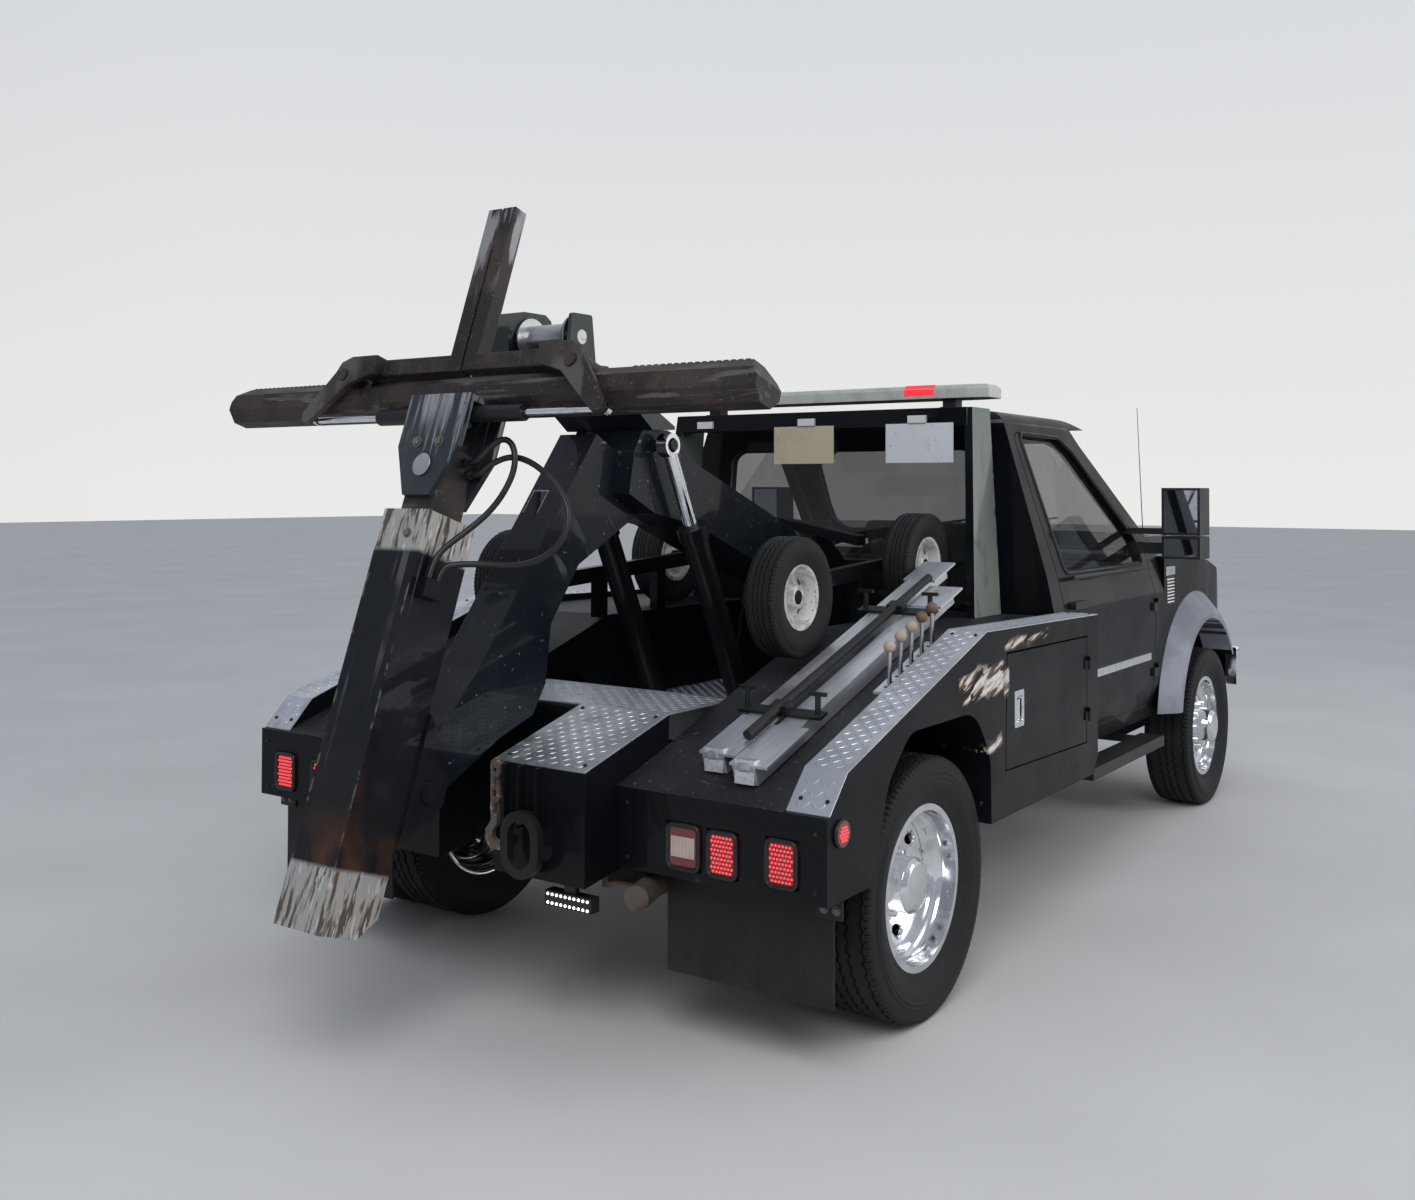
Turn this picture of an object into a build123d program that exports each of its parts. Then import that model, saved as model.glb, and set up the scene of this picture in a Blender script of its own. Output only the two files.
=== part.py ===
from build123d import *
from math import atan2, cos, hypot, pi, radians, sin, tan
import os

os.makedirs("parts", exist_ok=True)

# Self-loading wheel-lift tow truck, millimetres.
# Working frame: +X forward, +Y left, +Z up, x = 0 at the rear axle, z = 0 on the ground.
# Every piece is moved by -ORIGIN_X when it is written, so that the origin is below the middle.

# Driving dimensions
WHEELBASE = 3580.0
BODY_HALF_WIDTH = 1205.0
CAB_HALF_WIDTH = 1000.0
TYRE_RADIUS = 410.0
TYRE_WIDTH = 245.0
RIM_FLANGE_RADIUS = 262.0
DUAL_SPACING = 255.0
REAR_RIM_FACE_Y = 1150.0
FRONT_RIM_FACE_Y = 1050.0
CROSSBAR_LENGTH = 2230.0
STINGER_LENGTH = 1207.0
WALL = 6.0
GAP = 6.0
PIN_CLEARANCE = 0.1
SEAT = 0.3

# Front overhang and the rearmost point give the middle of the object
NOSE_X = WHEELBASE + 965.0
STINGER_FOOT_X = -1497.0
STINGER_FOOT_Z = 454.0
ORIGIN_X = (NOSE_X + STINGER_FOOT_X) / 2

# Chassis
RAIL_TOP = 780.0
RAIL_BOTTOM = 560.0
RAIL_OUT = 432.0
RAIL_FLANGE = 76.0
RAIL_WALL = 8.0
RAIL_REAR_X = -780.0
RAIL_FRONT_X = WHEELBASE + 700.0

# Tow body
BODY_REAR_X = -700.0
BODY_FRONT_X = 1456.0
BODY_INNER_Y = 480.0
TRIM_INNER_Y = 1065.0
TRIM_THICKNESS = 4.0
TRIM_PROFILE = [(-685.0, 770.0), (-585.0, 874.0), (366.0, 1184.0), (1457.0, 1163.0)]
SLOPE_START_Z = 766.0
SLOPE_RISE = 0.33
SLOPE_TOP_Z = 1142.0
TAIL_BOTTOM_Z = 526.0
ARCH = [(-430.0, 526.0, 0), (-345.0, 800.0, 160), (-200.0, 928.0, 120), (270.0, 928.0, 170),
        (396.0, 760.0, 150),
        (402.0, 535.0, 0)]
TOOLBOX_FRONT_X = 1402.0
TOOLBOX_BOTTOM_Z = 535.0
TOOL_DOOR = [(520.0, 690.0), (1330.0, 668.0), (1337.0, 1087.0), (535.0, 1097.0)]

# Tail frame and centre deck
TAIL_REAR_X = -850.0
TAIL_FRONT_X = -440.0
TAIL_LOW_Z = 490.0
TAIL_EDGE_Z = 825.0
DECK_Z = 940.0
DECK_FRONT_X = -60.0
SLOT_HALF = 118.0
PLATE = 8.0

# Boom: pivot pin, elbow and the pin that carries the stinger
BOOM_PIVOT = (1120.0, 1275.0)
BOOM_FRONT_HALF = 150.0
BOOM_REAR_HALF = 82.0
STINGER_PIN = (-1113.0, 768.0)
LIFT_EYE = (-81.0, 1810.0)
LIFT_FOOT = (436.0, 760.0)
LIFT_Y = 205.0
BOOM_LOWER_DEG = 12.0

# Stinger local frame: along = up the tube, out = rearwards from its rear face
LEAN = atan2(391.0, 1142.0)
STINGER = Plane(
    origin=(STINGER_FOOT_X, 0, STINGER_FOOT_Z), x_dir=(0, 1, 0), z_dir=(sin(LEAN), 0, cos(LEAN))
)
TUBE_HALF = 95.0
TUBE_DEPTH = 200.0
TUBE_WALL = 10.0
INNER_HALF = 65.0
INNER_REAR = -35.0
INNER_FOOT_S = 320.0
MOUTH_PAD = 57.0
HEAD_PIN_S = 1351.0
HEAD_PLATE = 20.0
BAR_SIZE = 126.0
BAR_FRONT_D = -65.0
BAR_BOTTOM_S = 1549.0
BAR_CENTRE_D = BAR_FRONT_D - BAR_SIZE / 2
BAR_CENTRE_S = BAR_BOTTOM_S + BAR_SIZE / 2
BAR_CHAMFER = 36.0
TOOTH_PITCH = 24.0
TOOTH_COUNT = 17
GLAND_S = 1010.0
GLAND_OUT = 33.0
CLAW_PIVOT = (490.0, 1672.0)
CLAW_ARM = 189.5
CLAW_LEG = 55.0
CLAW_TIP_S = 2250.0
CLAW_CYL_D = -72.0
CLAW_OPEN_DEG = 86.0

# Dolly
DOLLY_WHEEL_X = (60.0, 1035.0)
DOLLY_WHEEL_Z = (1290.0, 1357.0)
DOLLY_WHEEL_Y = 620.0
DOLLY_TYRE_RADIUS = 207.0
DOLLY_TYRE_WIDTH = 120.0
DOLLY_PIN_RADIUS = 25.0

# Steering
KINGPIN_Y = 800.0
KINGPIN_RADIUS = 18.0
EYE_HALF_HEIGHT = 45.0
KNUCKLE_FACE_Y = 890.0

PARTS = {}


def keep(name, part):
    part.label = name
    PARTS[name] = part


def block(x0, x1, y0, y1, z0, z1, mode=Mode.ADD):
    with Locations(((x0 + x1) / 2, (y0 + y1) / 2, (z0 + z1) / 2)):
        Box(x1 - x0, y1 - y0, z1 - z0, mode=mode)


def outline(plane, points, radius=0.0):
    with BuildSketch(plane) as face:
        with BuildLine():
            Polyline(*points, close=True)
        make_face()
        if radius:
            fillet(face.vertices(), radius)
    return face.sketch


def rounded(plane, corners):
    """A closed outline of (u, v, radius) corners."""
    points = [(u, v) for u, v, _ in corners]
    with BuildSketch(plane) as face:
        with BuildLine():
            Polyline(*points, close=True)
        make_face()
        for u, v, radius in corners:
            if radius:
                fillet(face.vertices().sort_by_distance((u, v, 0))[0], radius)
    return face.sketch


def moved_outline(points, by):
    """The outline with every side moved outwards by the same distance."""
    ahead = points[1:] + points[:1]
    area = sum(a[0] * b[1] - b[0] * a[1] for a, b in zip(points, ahead))
    reach = by if area > 0 else -by
    moved = []
    for before, (u, v), after in zip(points[-1:] + points[:-1], points, ahead):
        au, av = u - before[0], v - before[1]
        bu, bv = after[0] - u, after[1] - v
        a, b = hypot(au, av), hypot(bu, bv)
        au, av, bu, bv = au / a, av / a, bu / b, bv / b
        k = reach / (1 + au * bu + av * bv)
        moved.append((u + k * (av + bv), v - k * (au + bu)))
    return moved


def side_prism(points, y0, y1, radius=0.0, mode=Mode.ADD):
    extrude(outline(Plane.XZ.offset(-y1), points, radius), amount=y1 - y0, mode=mode)


def front_prism(points, x0, x1, radius=0.0, mode=Mode.ADD):
    extrude(outline(Plane.YZ.offset(x0), points, radius), amount=x1 - x0, mode=mode)


def plan_prism(points, z0, z1, radius=0.0, mode=Mode.ADD):
    extrude(outline(Plane.XY.offset(z0), points, radius), amount=z1 - z0, mode=mode)


def cross_rod(x, z, radius, y0, y1, mode=Mode.ADD):
    with Locations((x, (y0 + y1) / 2, z)):
        Cylinder(radius, y1 - y0, rotation=(90, 0, 0), mode=mode)


def local(y, d, s):
    return STINGER.from_local_coords(Vector(y, d, s))


def face_prism(points, d0, depth, radius=0.0, mode=Mode.ADD):
    plane = Plane(origin=local(0, d0, 0), x_dir=(0, 1, 0), z_dir=(cos(LEAN), 0, -sin(LEAN)))
    extrude(outline(plane, points, radius), amount=depth, mode=mode)


def bar_prism(points, y0, y1, mode=Mode.ADD):
    plane = Plane(origin=local(y0, 0, 0), x_dir=(-cos(LEAN), 0, sin(LEAN)), z_dir=(0, 1, 0))
    extrude(outline(plane, points), amount=y1 - y0, mode=mode)


def face_rod(y, s, radius, d0, depth, mode=Mode.ADD):
    plane = Plane(origin=local(0, d0, 0), x_dir=(0, 1, 0), z_dir=(cos(LEAN), 0, -sin(LEAN)))
    with BuildSketch(plane) as disc:
        with Locations((y, s)):
            Circle(radius)
    extrude(disc.sketch, amount=depth, mode=mode)


def span(side, a, b):
    """The lower and higher y of a piece that lies between a and b on one side of the truck."""
    return tuple(sorted((side * a, side * b)))


# Wheels: tyre and rim are closed sections of (y, radius, corner radius), turned about the axle
def tyre_section(centre_y, radius, width, bead):
    half = width / 2
    wall = bead + (radius - bead) * 0.48
    left = [(-half * 0.66, bead, 0), (-half, wall, half * 0.5), (-half * 0.86, radius * 0.982, half * 0.2),
            (-half * 0.4, radius, 0)]
    right = [(-y, r, corner) for y, r, corner in reversed(left)]
    return [(centre_y + y, r, corner) for y, r, corner in left + right]


def turned(x, z, corners, mode=Mode.ADD):
    face = rounded(Plane(origin=(x, 0, z), x_dir=(0, 1, 0), z_dir=(1, 0, 0)), corners)
    revolve(face, axis=Axis((x, 0, z), (0, 1, 0)), mode=mode)


def ring(x, z, y0, y1, inside, outside, mode=Mode.ADD):
    turned(x, z, [(y0, inside, 0), (y0, outside, 0), (y1, outside, 0), (y1, inside, 0)], mode)


SPINDLE_RADIUS = 45.0
HUB_BORE = SPINDLE_RADIUS + PIN_CLEARANCE
BEAD_INSET = 34.5
RIM_HALF = TYRE_WIDTH / 2 - BEAD_INSET
RIM_WALL = 9.0
BARREL_RADIUS = 232.0
STUD_CIRCLE = 112.5
STUD_COUNT = 10
STUD_RADIUS = 16.0
HAND_HOLE_CIRCLE = 178.0


def rim_section(side, face_y):
    """The open channel of the rim barrel: flanges, bead seats and the drop centre."""
    f, w, r = RIM_FLANGE_RADIUS, RIM_WALL, BARREL_RADIUS
    back = face_y - 2 * RIM_HALF
    middle = face_y - RIM_HALF
    outer = [(face_y, f), (face_y - 12, f), (face_y - 14, r + 14), (middle + 28, r + 10), (middle + 13, r - 12),
             (middle - 28, r - 12), (middle - 43, r + 10), (back + 14, r + 14), (back + 12, f), (back, f)]
    inner = [(back, r + 14 - w), (middle - 48, r + 10 - w), (middle - 30, r - 12 - w),
             (middle + 15, r - 12 - w), (middle + 32, r + 10 - w), (face_y, r + 14 - w)]
    return [(side * y, radius, 0) for y, radius in outer + inner]


def road_wheel(x, side, face_y, disc_y, meets):
    """Tyre, rim barrel and dished disc. disc_y is the disc's mounting face; it meets the barrel near its middle."""
    z = TYRE_RADIUS
    centre_y = side * (face_y - RIM_HALF)
    with BuildPart() as wheel:
        turned(x, z, tyre_section(centre_y, TYRE_RADIUS, TYRE_WIDTH, RIM_FLANGE_RADIUS - 13))
        turned(x, z, rim_section(side, face_y))
        far = face_y - RIM_HALF + meets
        dish = far - disc_y
        turned(x, z, [(side * disc_y, HUB_BORE, 0), (side * disc_y, 145, 20), (side * far, 205, 12),
                      (side * far, BARREL_RADIUS - 14, 0), (side * (far - 10), BARREL_RADIUS - 14, 0),
                      (side * (far - 10), 205, 8), (side * (disc_y - 10), 148, 14),
                      (side * (disc_y - 10), HUB_BORE, 0)])
        with BuildSketch(Plane.XZ.offset(-side * (disc_y + dish / 2) - 40)) as holes:
            with Locations((x, z)):
                with PolarLocations(HAND_HOLE_CIRCLE, 10):
                    Ellipse(15, 24)
        extrude(holes.sketch, amount=80, mode=Mode.SUBTRACT)
    return wheel.part


def hub_cover(x, side, y0, y1, radius):
    """Domed cover in the middle of a wheel with a ring of stud covers round it."""
    z = TYRE_RADIUS
    a, b = sorted((side * y0, side * (y0 + 30)))
    with BuildPart() as cover:
        turned(x, z, [(side * (y0 - 30), HUB_BORE, 0), (side * (y0 - 30), radius, 0),
                      (side * (y1 - 20), radius, 6),
                      (side * (y1 - 4), radius - 16, 10), (side * y1, 30, 0), (side * y1, 0.0, 0),
                      (side * (y1 - 12), 0.0, 0), (side * (y1 - 12), HUB_BORE, 0)])
        with BuildSketch(Plane.XZ.offset(-b)) as studs:
            with Locations((x, z)):
                with PolarLocations(STUD_CIRCLE, STUD_COUNT):
                    Circle(STUD_RADIUS)
        extrude(studs.sketch, amount=b - a)
    return cover.part


FRONT_DISC_Y = FRONT_RIM_FACE_Y - 40
REAR_DISC_Y = REAR_RIM_FACE_Y - 145
for side, name in ((1, "left"), (-1, "right")):
    with BuildPart() as single:
        add(road_wheel(WHEELBASE, side, FRONT_RIM_FACE_Y, FRONT_DISC_Y, 3))
        ring(WHEELBASE, TYRE_RADIUS, side * (KNUCKLE_FACE_Y + GAP), side * (FRONT_DISC_Y - 5), HUB_BORE, 130)
        add(hub_cover(WHEELBASE, side, FRONT_DISC_Y, FRONT_DISC_Y + 95, 84))
    keep(f"front_wheel_{name}", single.part)
    with BuildPart() as pair:
        add(road_wheel(0.0, side, REAR_RIM_FACE_Y, REAR_DISC_Y, -17))
        add(road_wheel(0.0, side, REAR_RIM_FACE_Y - DUAL_SPACING, REAR_DISC_Y - 9.0, 8))
        ring(0.0, TYRE_RADIUS, side * (REAR_DISC_Y - 170), side * (REAR_DISC_Y - 5), HUB_BORE, 140)
        add(hub_cover(0.0, side, REAR_DISC_Y, REAR_DISC_Y + 130, 88))
    keep(f"rear_wheels_{name}", pair.part)

# Front axle with kingpin eyes, and its leaf springs under the rails
SPRING_Y = 394.0
with BuildPart() as front_axle:
    front_prism([(-KINGPIN_Y + 60, 380), (-600, 300), (600, 300), (KINGPIN_Y - 60, 380), (KINGPIN_Y, 380),
                 (KINGPIN_Y, 440), (KINGPIN_Y - 80, 440), (560, 375), (-560, 375), (-KINGPIN_Y + 80, 440),
                 (-KINGPIN_Y, 440), (-KINGPIN_Y, 380)], WHEELBASE - 40, WHEELBASE + 40)
    for side in (-1, 1):
        with Locations((WHEELBASE, side * KINGPIN_Y, TYRE_RADIUS)):
            Cylinder(40, 2 * EYE_HALF_HEIGHT)
        block(WHEELBASE - 60, WHEELBASE + 60, side * SPRING_Y - 38, side * SPRING_Y + 38, 370, 400)
        side_prism([(WHEELBASE - 640, 520), (WHEELBASE - 300, 440), (WHEELBASE, 400), (WHEELBASE + 300, 440),
                    (WHEELBASE + 640, 520), (WHEELBASE + 640, RAIL_BOTTOM - SEAT), (WHEELBASE + 300, 475),
                    (WHEELBASE, 455), (WHEELBASE - 300, 475), (WHEELBASE - 640, RAIL_BOTTOM - SEAT)],
                   side * SPRING_Y - 35, side * SPRING_Y + 35)
    for side in (-1, 1):
        with Locations((WHEELBASE, side * KINGPIN_Y, TYRE_RADIUS)):
            Cylinder(KINGPIN_RADIUS + PIN_CLEARANCE, 2 * EYE_HALF_HEIGHT, mode=Mode.SUBTRACT)
keep("front_axle", front_axle.part)

for side, name in ((1, "left"), (-1, "right")):
    with BuildPart() as knuckle:
        ear_y = side * KINGPIN_Y
        reach_y = side * KNUCKLE_FACE_Y
        for low, high in ((EYE_HALF_HEIGHT + 6, EYE_HALF_HEIGHT + 30),
                          (-EYE_HALF_HEIGHT - 30, -EYE_HALF_HEIGHT - 6)):
            block(WHEELBASE - 38, WHEELBASE + 38, min(ear_y - side * 38, reach_y),
                  max(ear_y - side * 38, reach_y),
                  TYRE_RADIUS + low, TYRE_RADIUS + high)
        block(WHEELBASE - 45, WHEELBASE + 45, min(side * (KINGPIN_Y + 60), reach_y),
              max(side * (KINGPIN_Y + 60), reach_y), TYRE_RADIUS - 75, TYRE_RADIUS + 75)
        with Locations((WHEELBASE, ear_y, TYRE_RADIUS)):
            Cylinder(KINGPIN_RADIUS, 2 * EYE_HALF_HEIGHT + 62)
        y0, y1 = sorted((reach_y, side * (FRONT_DISC_Y + 70)))
        cross_rod(WHEELBASE, TYRE_RADIUS, SPINDLE_RADIUS, y0, y1)
    keep(f"knuckle_{name}", knuckle.part)

with BuildPart() as rear_axle:
    cross_rod(0, TYRE_RADIUS, 62, -650, 650)
    cross_rod(0, TYRE_RADIUS, SPINDLE_RADIUS, -(REAR_DISC_Y + 100), REAR_DISC_Y + 100)
    with Locations((0, 0, TYRE_RADIUS)):
        Sphere(175)
    block(0, 300, -60, 60, TYRE_RADIUS - 40, TYRE_RADIUS + 60)
    for side in (-1, 1):
        side_prism([(-640, 520), (-300, 470), (0, 465), (300, 470), (640, 520), (640, RAIL_BOTTOM - SEAT),
                    (300, 545), (0, 540),
                    (-300, 545), (-640, RAIL_BOTTOM - SEAT)], side * SPRING_Y - 35, side * SPRING_Y + 35)
        block(-70, 70, side * SPRING_Y - 45, side * SPRING_Y + 45, 440, 470)
keep("rear_axle", rear_axle.part)

# Chassis rails and crossmembers
with BuildPart() as frame:
    for side in (-1, 1):
        web = (side * (RAIL_OUT - RAIL_WALL), side * RAIL_OUT)
        flange = (side * (RAIL_OUT - RAIL_FLANGE), side * RAIL_OUT)
        block(RAIL_REAR_X, RAIL_FRONT_X, min(web), max(web), RAIL_BOTTOM, RAIL_TOP)
        block(RAIL_REAR_X, RAIL_FRONT_X, min(flange), max(flange), RAIL_BOTTOM, RAIL_BOTTOM + RAIL_WALL)
        block(RAIL_REAR_X, RAIL_FRONT_X, min(flange), max(flange), RAIL_TOP - RAIL_WALL, RAIL_TOP)
    for x in (-360.0, 600.0, 1300.0, 2200.0, RAIL_FRONT_X - 60):
        cross_rod(x, 640, 50, -(RAIL_OUT - RAIL_WALL), RAIL_OUT - RAIL_WALL)
    fx, fz = LIFT_FOOT
    for side in (-1, 1):
        for y in (LIFT_Y - 46, LIFT_Y + 30):
            y0, y1 = sorted((side * y, side * (y + 16)))
            side_prism([(fx - 70, 700), (fx + 70, 700), (fx + 40, 786), (fx - 40, 786)], y0, y1)
        y0, y1 = sorted((side * (LIFT_Y - 52), side * (LIFT_Y + 52)))
        cross_rod(fx, fz, 22, y0, y1)
    block(fx - 80, fx + 80, -(RAIL_OUT - RAIL_WALL), RAIL_OUT - RAIL_WALL, 680, 700)
keep("chassis_frame", frame.part)

with BuildPart() as engine:
    block(3330, 4080, -290, 290, 590, 1130)
    block(2350, 3330, -170, 170, 590, 770)
    block(3640, 3760, -(RAIL_OUT - RAIL_WALL), RAIL_OUT - RAIL_WALL, 640, 690)
keep("engine_block", engine.part)

EXHAUST_ROUTE = [(1750, -553, 450), (420, -553, 455), (230, -553, 600), (-230, -553, 600), (-430, -553, 465),
                 (-600, -553, 465), (-765, -605, 465)]
with BuildPart() as exhaust:
    with BuildLine():
        FilletPolyline(*EXHAUST_ROUTE, radius=60)
    with BuildSketch(Plane(origin=EXHAUST_ROUTE[0], z_dir=(-1, 0, 0))):
        Circle(38)
    sweep()
    for x in (-690, 815):
        block(x - 12, x + 12, -560, -424, 455, 475)
        block(x - 12, x + 12, -445, -424, 455, RAIL_BOTTOM)
keep("exhaust", exhaust.part)

# Lamps in the tail boxes (y, width, z) and a round marker on each side
LAMP_ROWS = [(728.0, 110.0, 620.0), (864.0, 96.0, 618.0), (1062.0, 96.0, 624.0)]
LAMP_HEIGHT = 124.0
MARKER = (-627.0, 713.0, 36.0)
with BuildPart() as lamps:
    for side in (-1, 1):
        for y, width, z in LAMP_ROWS:
            block(BODY_REAR_X - 6, BODY_REAR_X + 22 - SEAT, side * y - width / 2, side * y + width / 2,
                  z - LAMP_HEIGHT / 2, z + LAMP_HEIGHT / 2)
        cross_rod(*MARKER, *span(side, BODY_HALF_WIDTH + SEAT, BODY_HALF_WIDTH + 12))
    chamfer(lamps.edges().filter_by(Axis.X), 12)
    block(TAIL_REAR_X + 20, TAIL_REAR_X + 60, -488, -308, 413, 458)
    block(TAIL_REAR_X + 30, TAIL_REAR_X + 50, -420, -376, 458, TAIL_LOW_Z + 40)
    block(TAIL_REAR_X + PLATE + SEAT, TAIL_REAR_X + 50, -420, -376, TAIL_LOW_Z + 20, TAIL_LOW_Z + 40)
keep("tail_lamps", lamps.part)

# Tow body, one side box: slope over the wheel, tail box, toolbox with a door opening
def slope_z(x):
    return min(SLOPE_START_Z + SLOPE_RISE * (x - BODY_REAR_X), SLOPE_TOP_Z)


SLOPE_KNEE_X = BODY_REAR_X + (SLOPE_TOP_Z - SLOPE_START_Z) / SLOPE_RISE


HINGE_X = 1336.0
HINGE_Y = BODY_HALF_WIDTH + 8
HINGE_Z = (760.0, 960.0)


def tow_body(side):
    floor = [(BODY_FRONT_X, 600, 0), (TOOLBOX_FRONT_X, TOOLBOX_BOTTOM_Z, 0)]
    under = floor + list(reversed(ARCH)) + [(BODY_REAR_X, TAIL_BOTTOM_Z, 0)]
    rail = [(x, z - TRIM_THICKNESS, 0) for x, z in TRIM_PROFILE[:3]]
    crown = [(BODY_REAR_X, SLOPE_START_Z, 0), *rail, (BODY_FRONT_X, TRIM_PROFILE[3][1] - TRIM_THICKNESS, 0)]
    slope = [(BODY_REAR_X, SLOPE_START_Z, 0), (SLOPE_KNEE_X, SLOPE_TOP_Z, 0), (BODY_FRONT_X, SLOPE_TOP_Z, 0)]
    with BuildPart() as body:
        for top, y0, y1 in ((crown, TRIM_INNER_Y, BODY_HALF_WIDTH), (slope, BODY_INNER_Y, TRIM_INNER_Y)):
            a, b = span(side, y0, y1)
            extrude(rounded(Plane.XZ.offset(-b), top + under), amount=b - a)
        block(430, BODY_FRONT_X - 26, *span(side, BODY_INNER_Y + 30, BODY_HALF_WIDTH - 26), 600, 1110,
              mode=Mode.SUBTRACT)
        side_prism(TOOL_DOOR, *span(side, BODY_HALF_WIDTH - 60, BODY_HALF_WIDTH + 10), mode=Mode.SUBTRACT)
        for y, width, z in LAMP_ROWS:
            block(BODY_REAR_X - 2, BODY_REAR_X + 22, side * y - width / 2 - 7, side * y + width / 2 + 7,
                  z - LAMP_HEIGHT / 2 - 7, z + LAMP_HEIGHT / 2 + 7, mode=Mode.SUBTRACT)
        for z in HINGE_Z:
            block(HINGE_X - 5, HINGE_X + 14, *span(side, BODY_HALF_WIDTH - 1, BODY_HALF_WIDTH + 14), z + 32,
                  z + 47)
            with Locations((HINGE_X, side * HINGE_Y, z + 20)):
                Cylinder(4, 50)
    return body.part


with BuildPart() as both:
    add(tow_body(1))
    add(tow_body(-1))
keep("tow_body", both.part)

DOOR_THICKNESS = 24.0
LATCH = (640.0, 892.0)
for side, name in ((1, "left"), (-1, "right")):
    with BuildPart() as door:
        y0, y1 = sorted((side * (BODY_HALF_WIDTH - DOOR_THICKNESS), side * BODY_HALF_WIDTH))
        side_prism(moved_outline(TOOL_DOOR, -GAP), y0, y1)
        chamfer(door.edges().filter_by(Axis.Y), 5)
        a, b = span(side, BODY_HALF_WIDTH - 1, BODY_HALF_WIDTH + 3)
        side_prism([(LATCH[0] - 42, LATCH[1] - 64), (LATCH[0] + 42, LATCH[1] - 64),
                    (LATCH[0] + 42, LATCH[1] + 64),
                    (LATCH[0] - 42, LATCH[1] + 64)], a, b, 8)
        a, b = span(side, BODY_HALF_WIDTH - 14, BODY_HALF_WIDTH + 4)
        side_prism([(LATCH[0] - 28, LATCH[1] - 46), (LATCH[0] + 28, LATCH[1] - 46),
                    (LATCH[0] + 28, LATCH[1] + 46),
                    (LATCH[0] - 28, LATCH[1] + 46)], a, b, 8, mode=Mode.SUBTRACT)
        a, b = span(side, BODY_HALF_WIDTH - 15, BODY_HALF_WIDTH - 4)
        block(LATCH[0] - 20, LATCH[0] + 20, a, b, LATCH[1] - 38, LATCH[1] + 30)
        for z in HINGE_Z:
            a, b = sorted((side * (BODY_HALF_WIDTH - 2), side * (BODY_HALF_WIDTH + 6)))
            block(HINGE_X - 30, HINGE_X - 12, a, b, z, z + 30)
            a, b = sorted((side * (BODY_HALF_WIDTH + 0.8), side * (BODY_HALF_WIDTH + 6)))
            block(HINGE_X - 30, HINGE_X, a, b, z, z + 30)
            with Locations((HINGE_X, side * HINGE_Y, z + 15)):
                Cylinder(7, 30)
                Cylinder(4 + PIN_CLEARANCE, 40, mode=Mode.SUBTRACT)
    keep(f"toolbox_door_{name}", door.part)

# Tail frame: hollow pillars either side of the boom slot, with ribs, and the front wall
with BuildPart() as tail:
    for side in (-1, 1):
        for y in (SLOT_HALF, BODY_INNER_Y - PLATE - SEAT):
            y0, y1 = sorted((side * y, side * (y + PLATE)))
            side_prism([(TAIL_REAR_X, TAIL_LOW_Z), (TAIL_REAR_X, TAIL_EDGE_Z), (TAIL_FRONT_X, DECK_Z),
                        (TAIL_FRONT_X, TAIL_LOW_Z + 60)], y0, y1)
        y0, y1 = sorted((side * SLOT_HALF, side * (BODY_INNER_Y - SEAT)))
        block(TAIL_REAR_X, TAIL_REAR_X + PLATE, y0, y1, TAIL_LOW_Z, TAIL_EDGE_Z)
        for rib_y in (SLOT_HALF + 60, SLOT_HALF + 120, SLOT_HALF + 190):
            y0, y1 = sorted((side * rib_y, side * (rib_y + PLATE)))
            block(TAIL_REAR_X - 30, TAIL_REAR_X, y0, y1, TAIL_LOW_Z + 150, TAIL_EDGE_Z)
    block(TAIL_FRONT_X - PLATE, TAIL_FRONT_X, -(BODY_INNER_Y - SEAT), BODY_INNER_Y - SEAT, RAIL_TOP + 5,
          DECK_Z - 5)
keep("tail_frame", tail.part)

with BuildPart() as deck:
    for side in (-1, 1):
        y0, y1 = sorted((side * TRIM_INNER_Y, side * BODY_HALF_WIDTH))
        lower = [(x, z - TRIM_THICKNESS + SEAT) for x, z in TRIM_PROFILE]
        side_prism([*TRIM_PROFILE, *reversed(lower)], y0, y1)
    for side in (-1, 1):
        y0, y1 = sorted((side * SLOT_HALF, side * (BODY_INNER_Y - SEAT)))
        side_prism([(TAIL_REAR_X, TAIL_EDGE_Z + SEAT), (TAIL_REAR_X, TAIL_EDGE_Z + 5),
                    (TAIL_FRONT_X, DECK_Z + 5),
                    (TAIL_FRONT_X, DECK_Z + SEAT)], y0, y1)
    block(TAIL_FRONT_X, DECK_FRONT_X, -(BODY_INNER_Y - SEAT), BODY_INNER_Y - SEAT, DECK_Z + SEAT, DECK_Z + 5)
    block(DECK_FRONT_X - 5, DECK_FRONT_X, -(BODY_INNER_Y - SEAT), BODY_INNER_Y - SEAT, RAIL_TOP + SEAT,
          DECK_Z + 5)
    block(DECK_FRONT_X, BODY_FRONT_X - 60, -(BODY_INNER_Y - SEAT), BODY_INNER_Y - SEAT, RAIL_TOP + SEAT,
          RAIL_TOP + 12)
    for side in (-1, 1):
        y0, y1 = sorted((side * (LIFT_Y - 62), side * (LIFT_Y + 62)))
        block(LIFT_FOOT[0] - 130, LIFT_FOOT[0] + 90, y0, y1, RAIL_TOP - 10, RAIL_TOP + 30, mode=Mode.SUBTRACT)
keep("tread_plates", deck.part)

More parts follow.
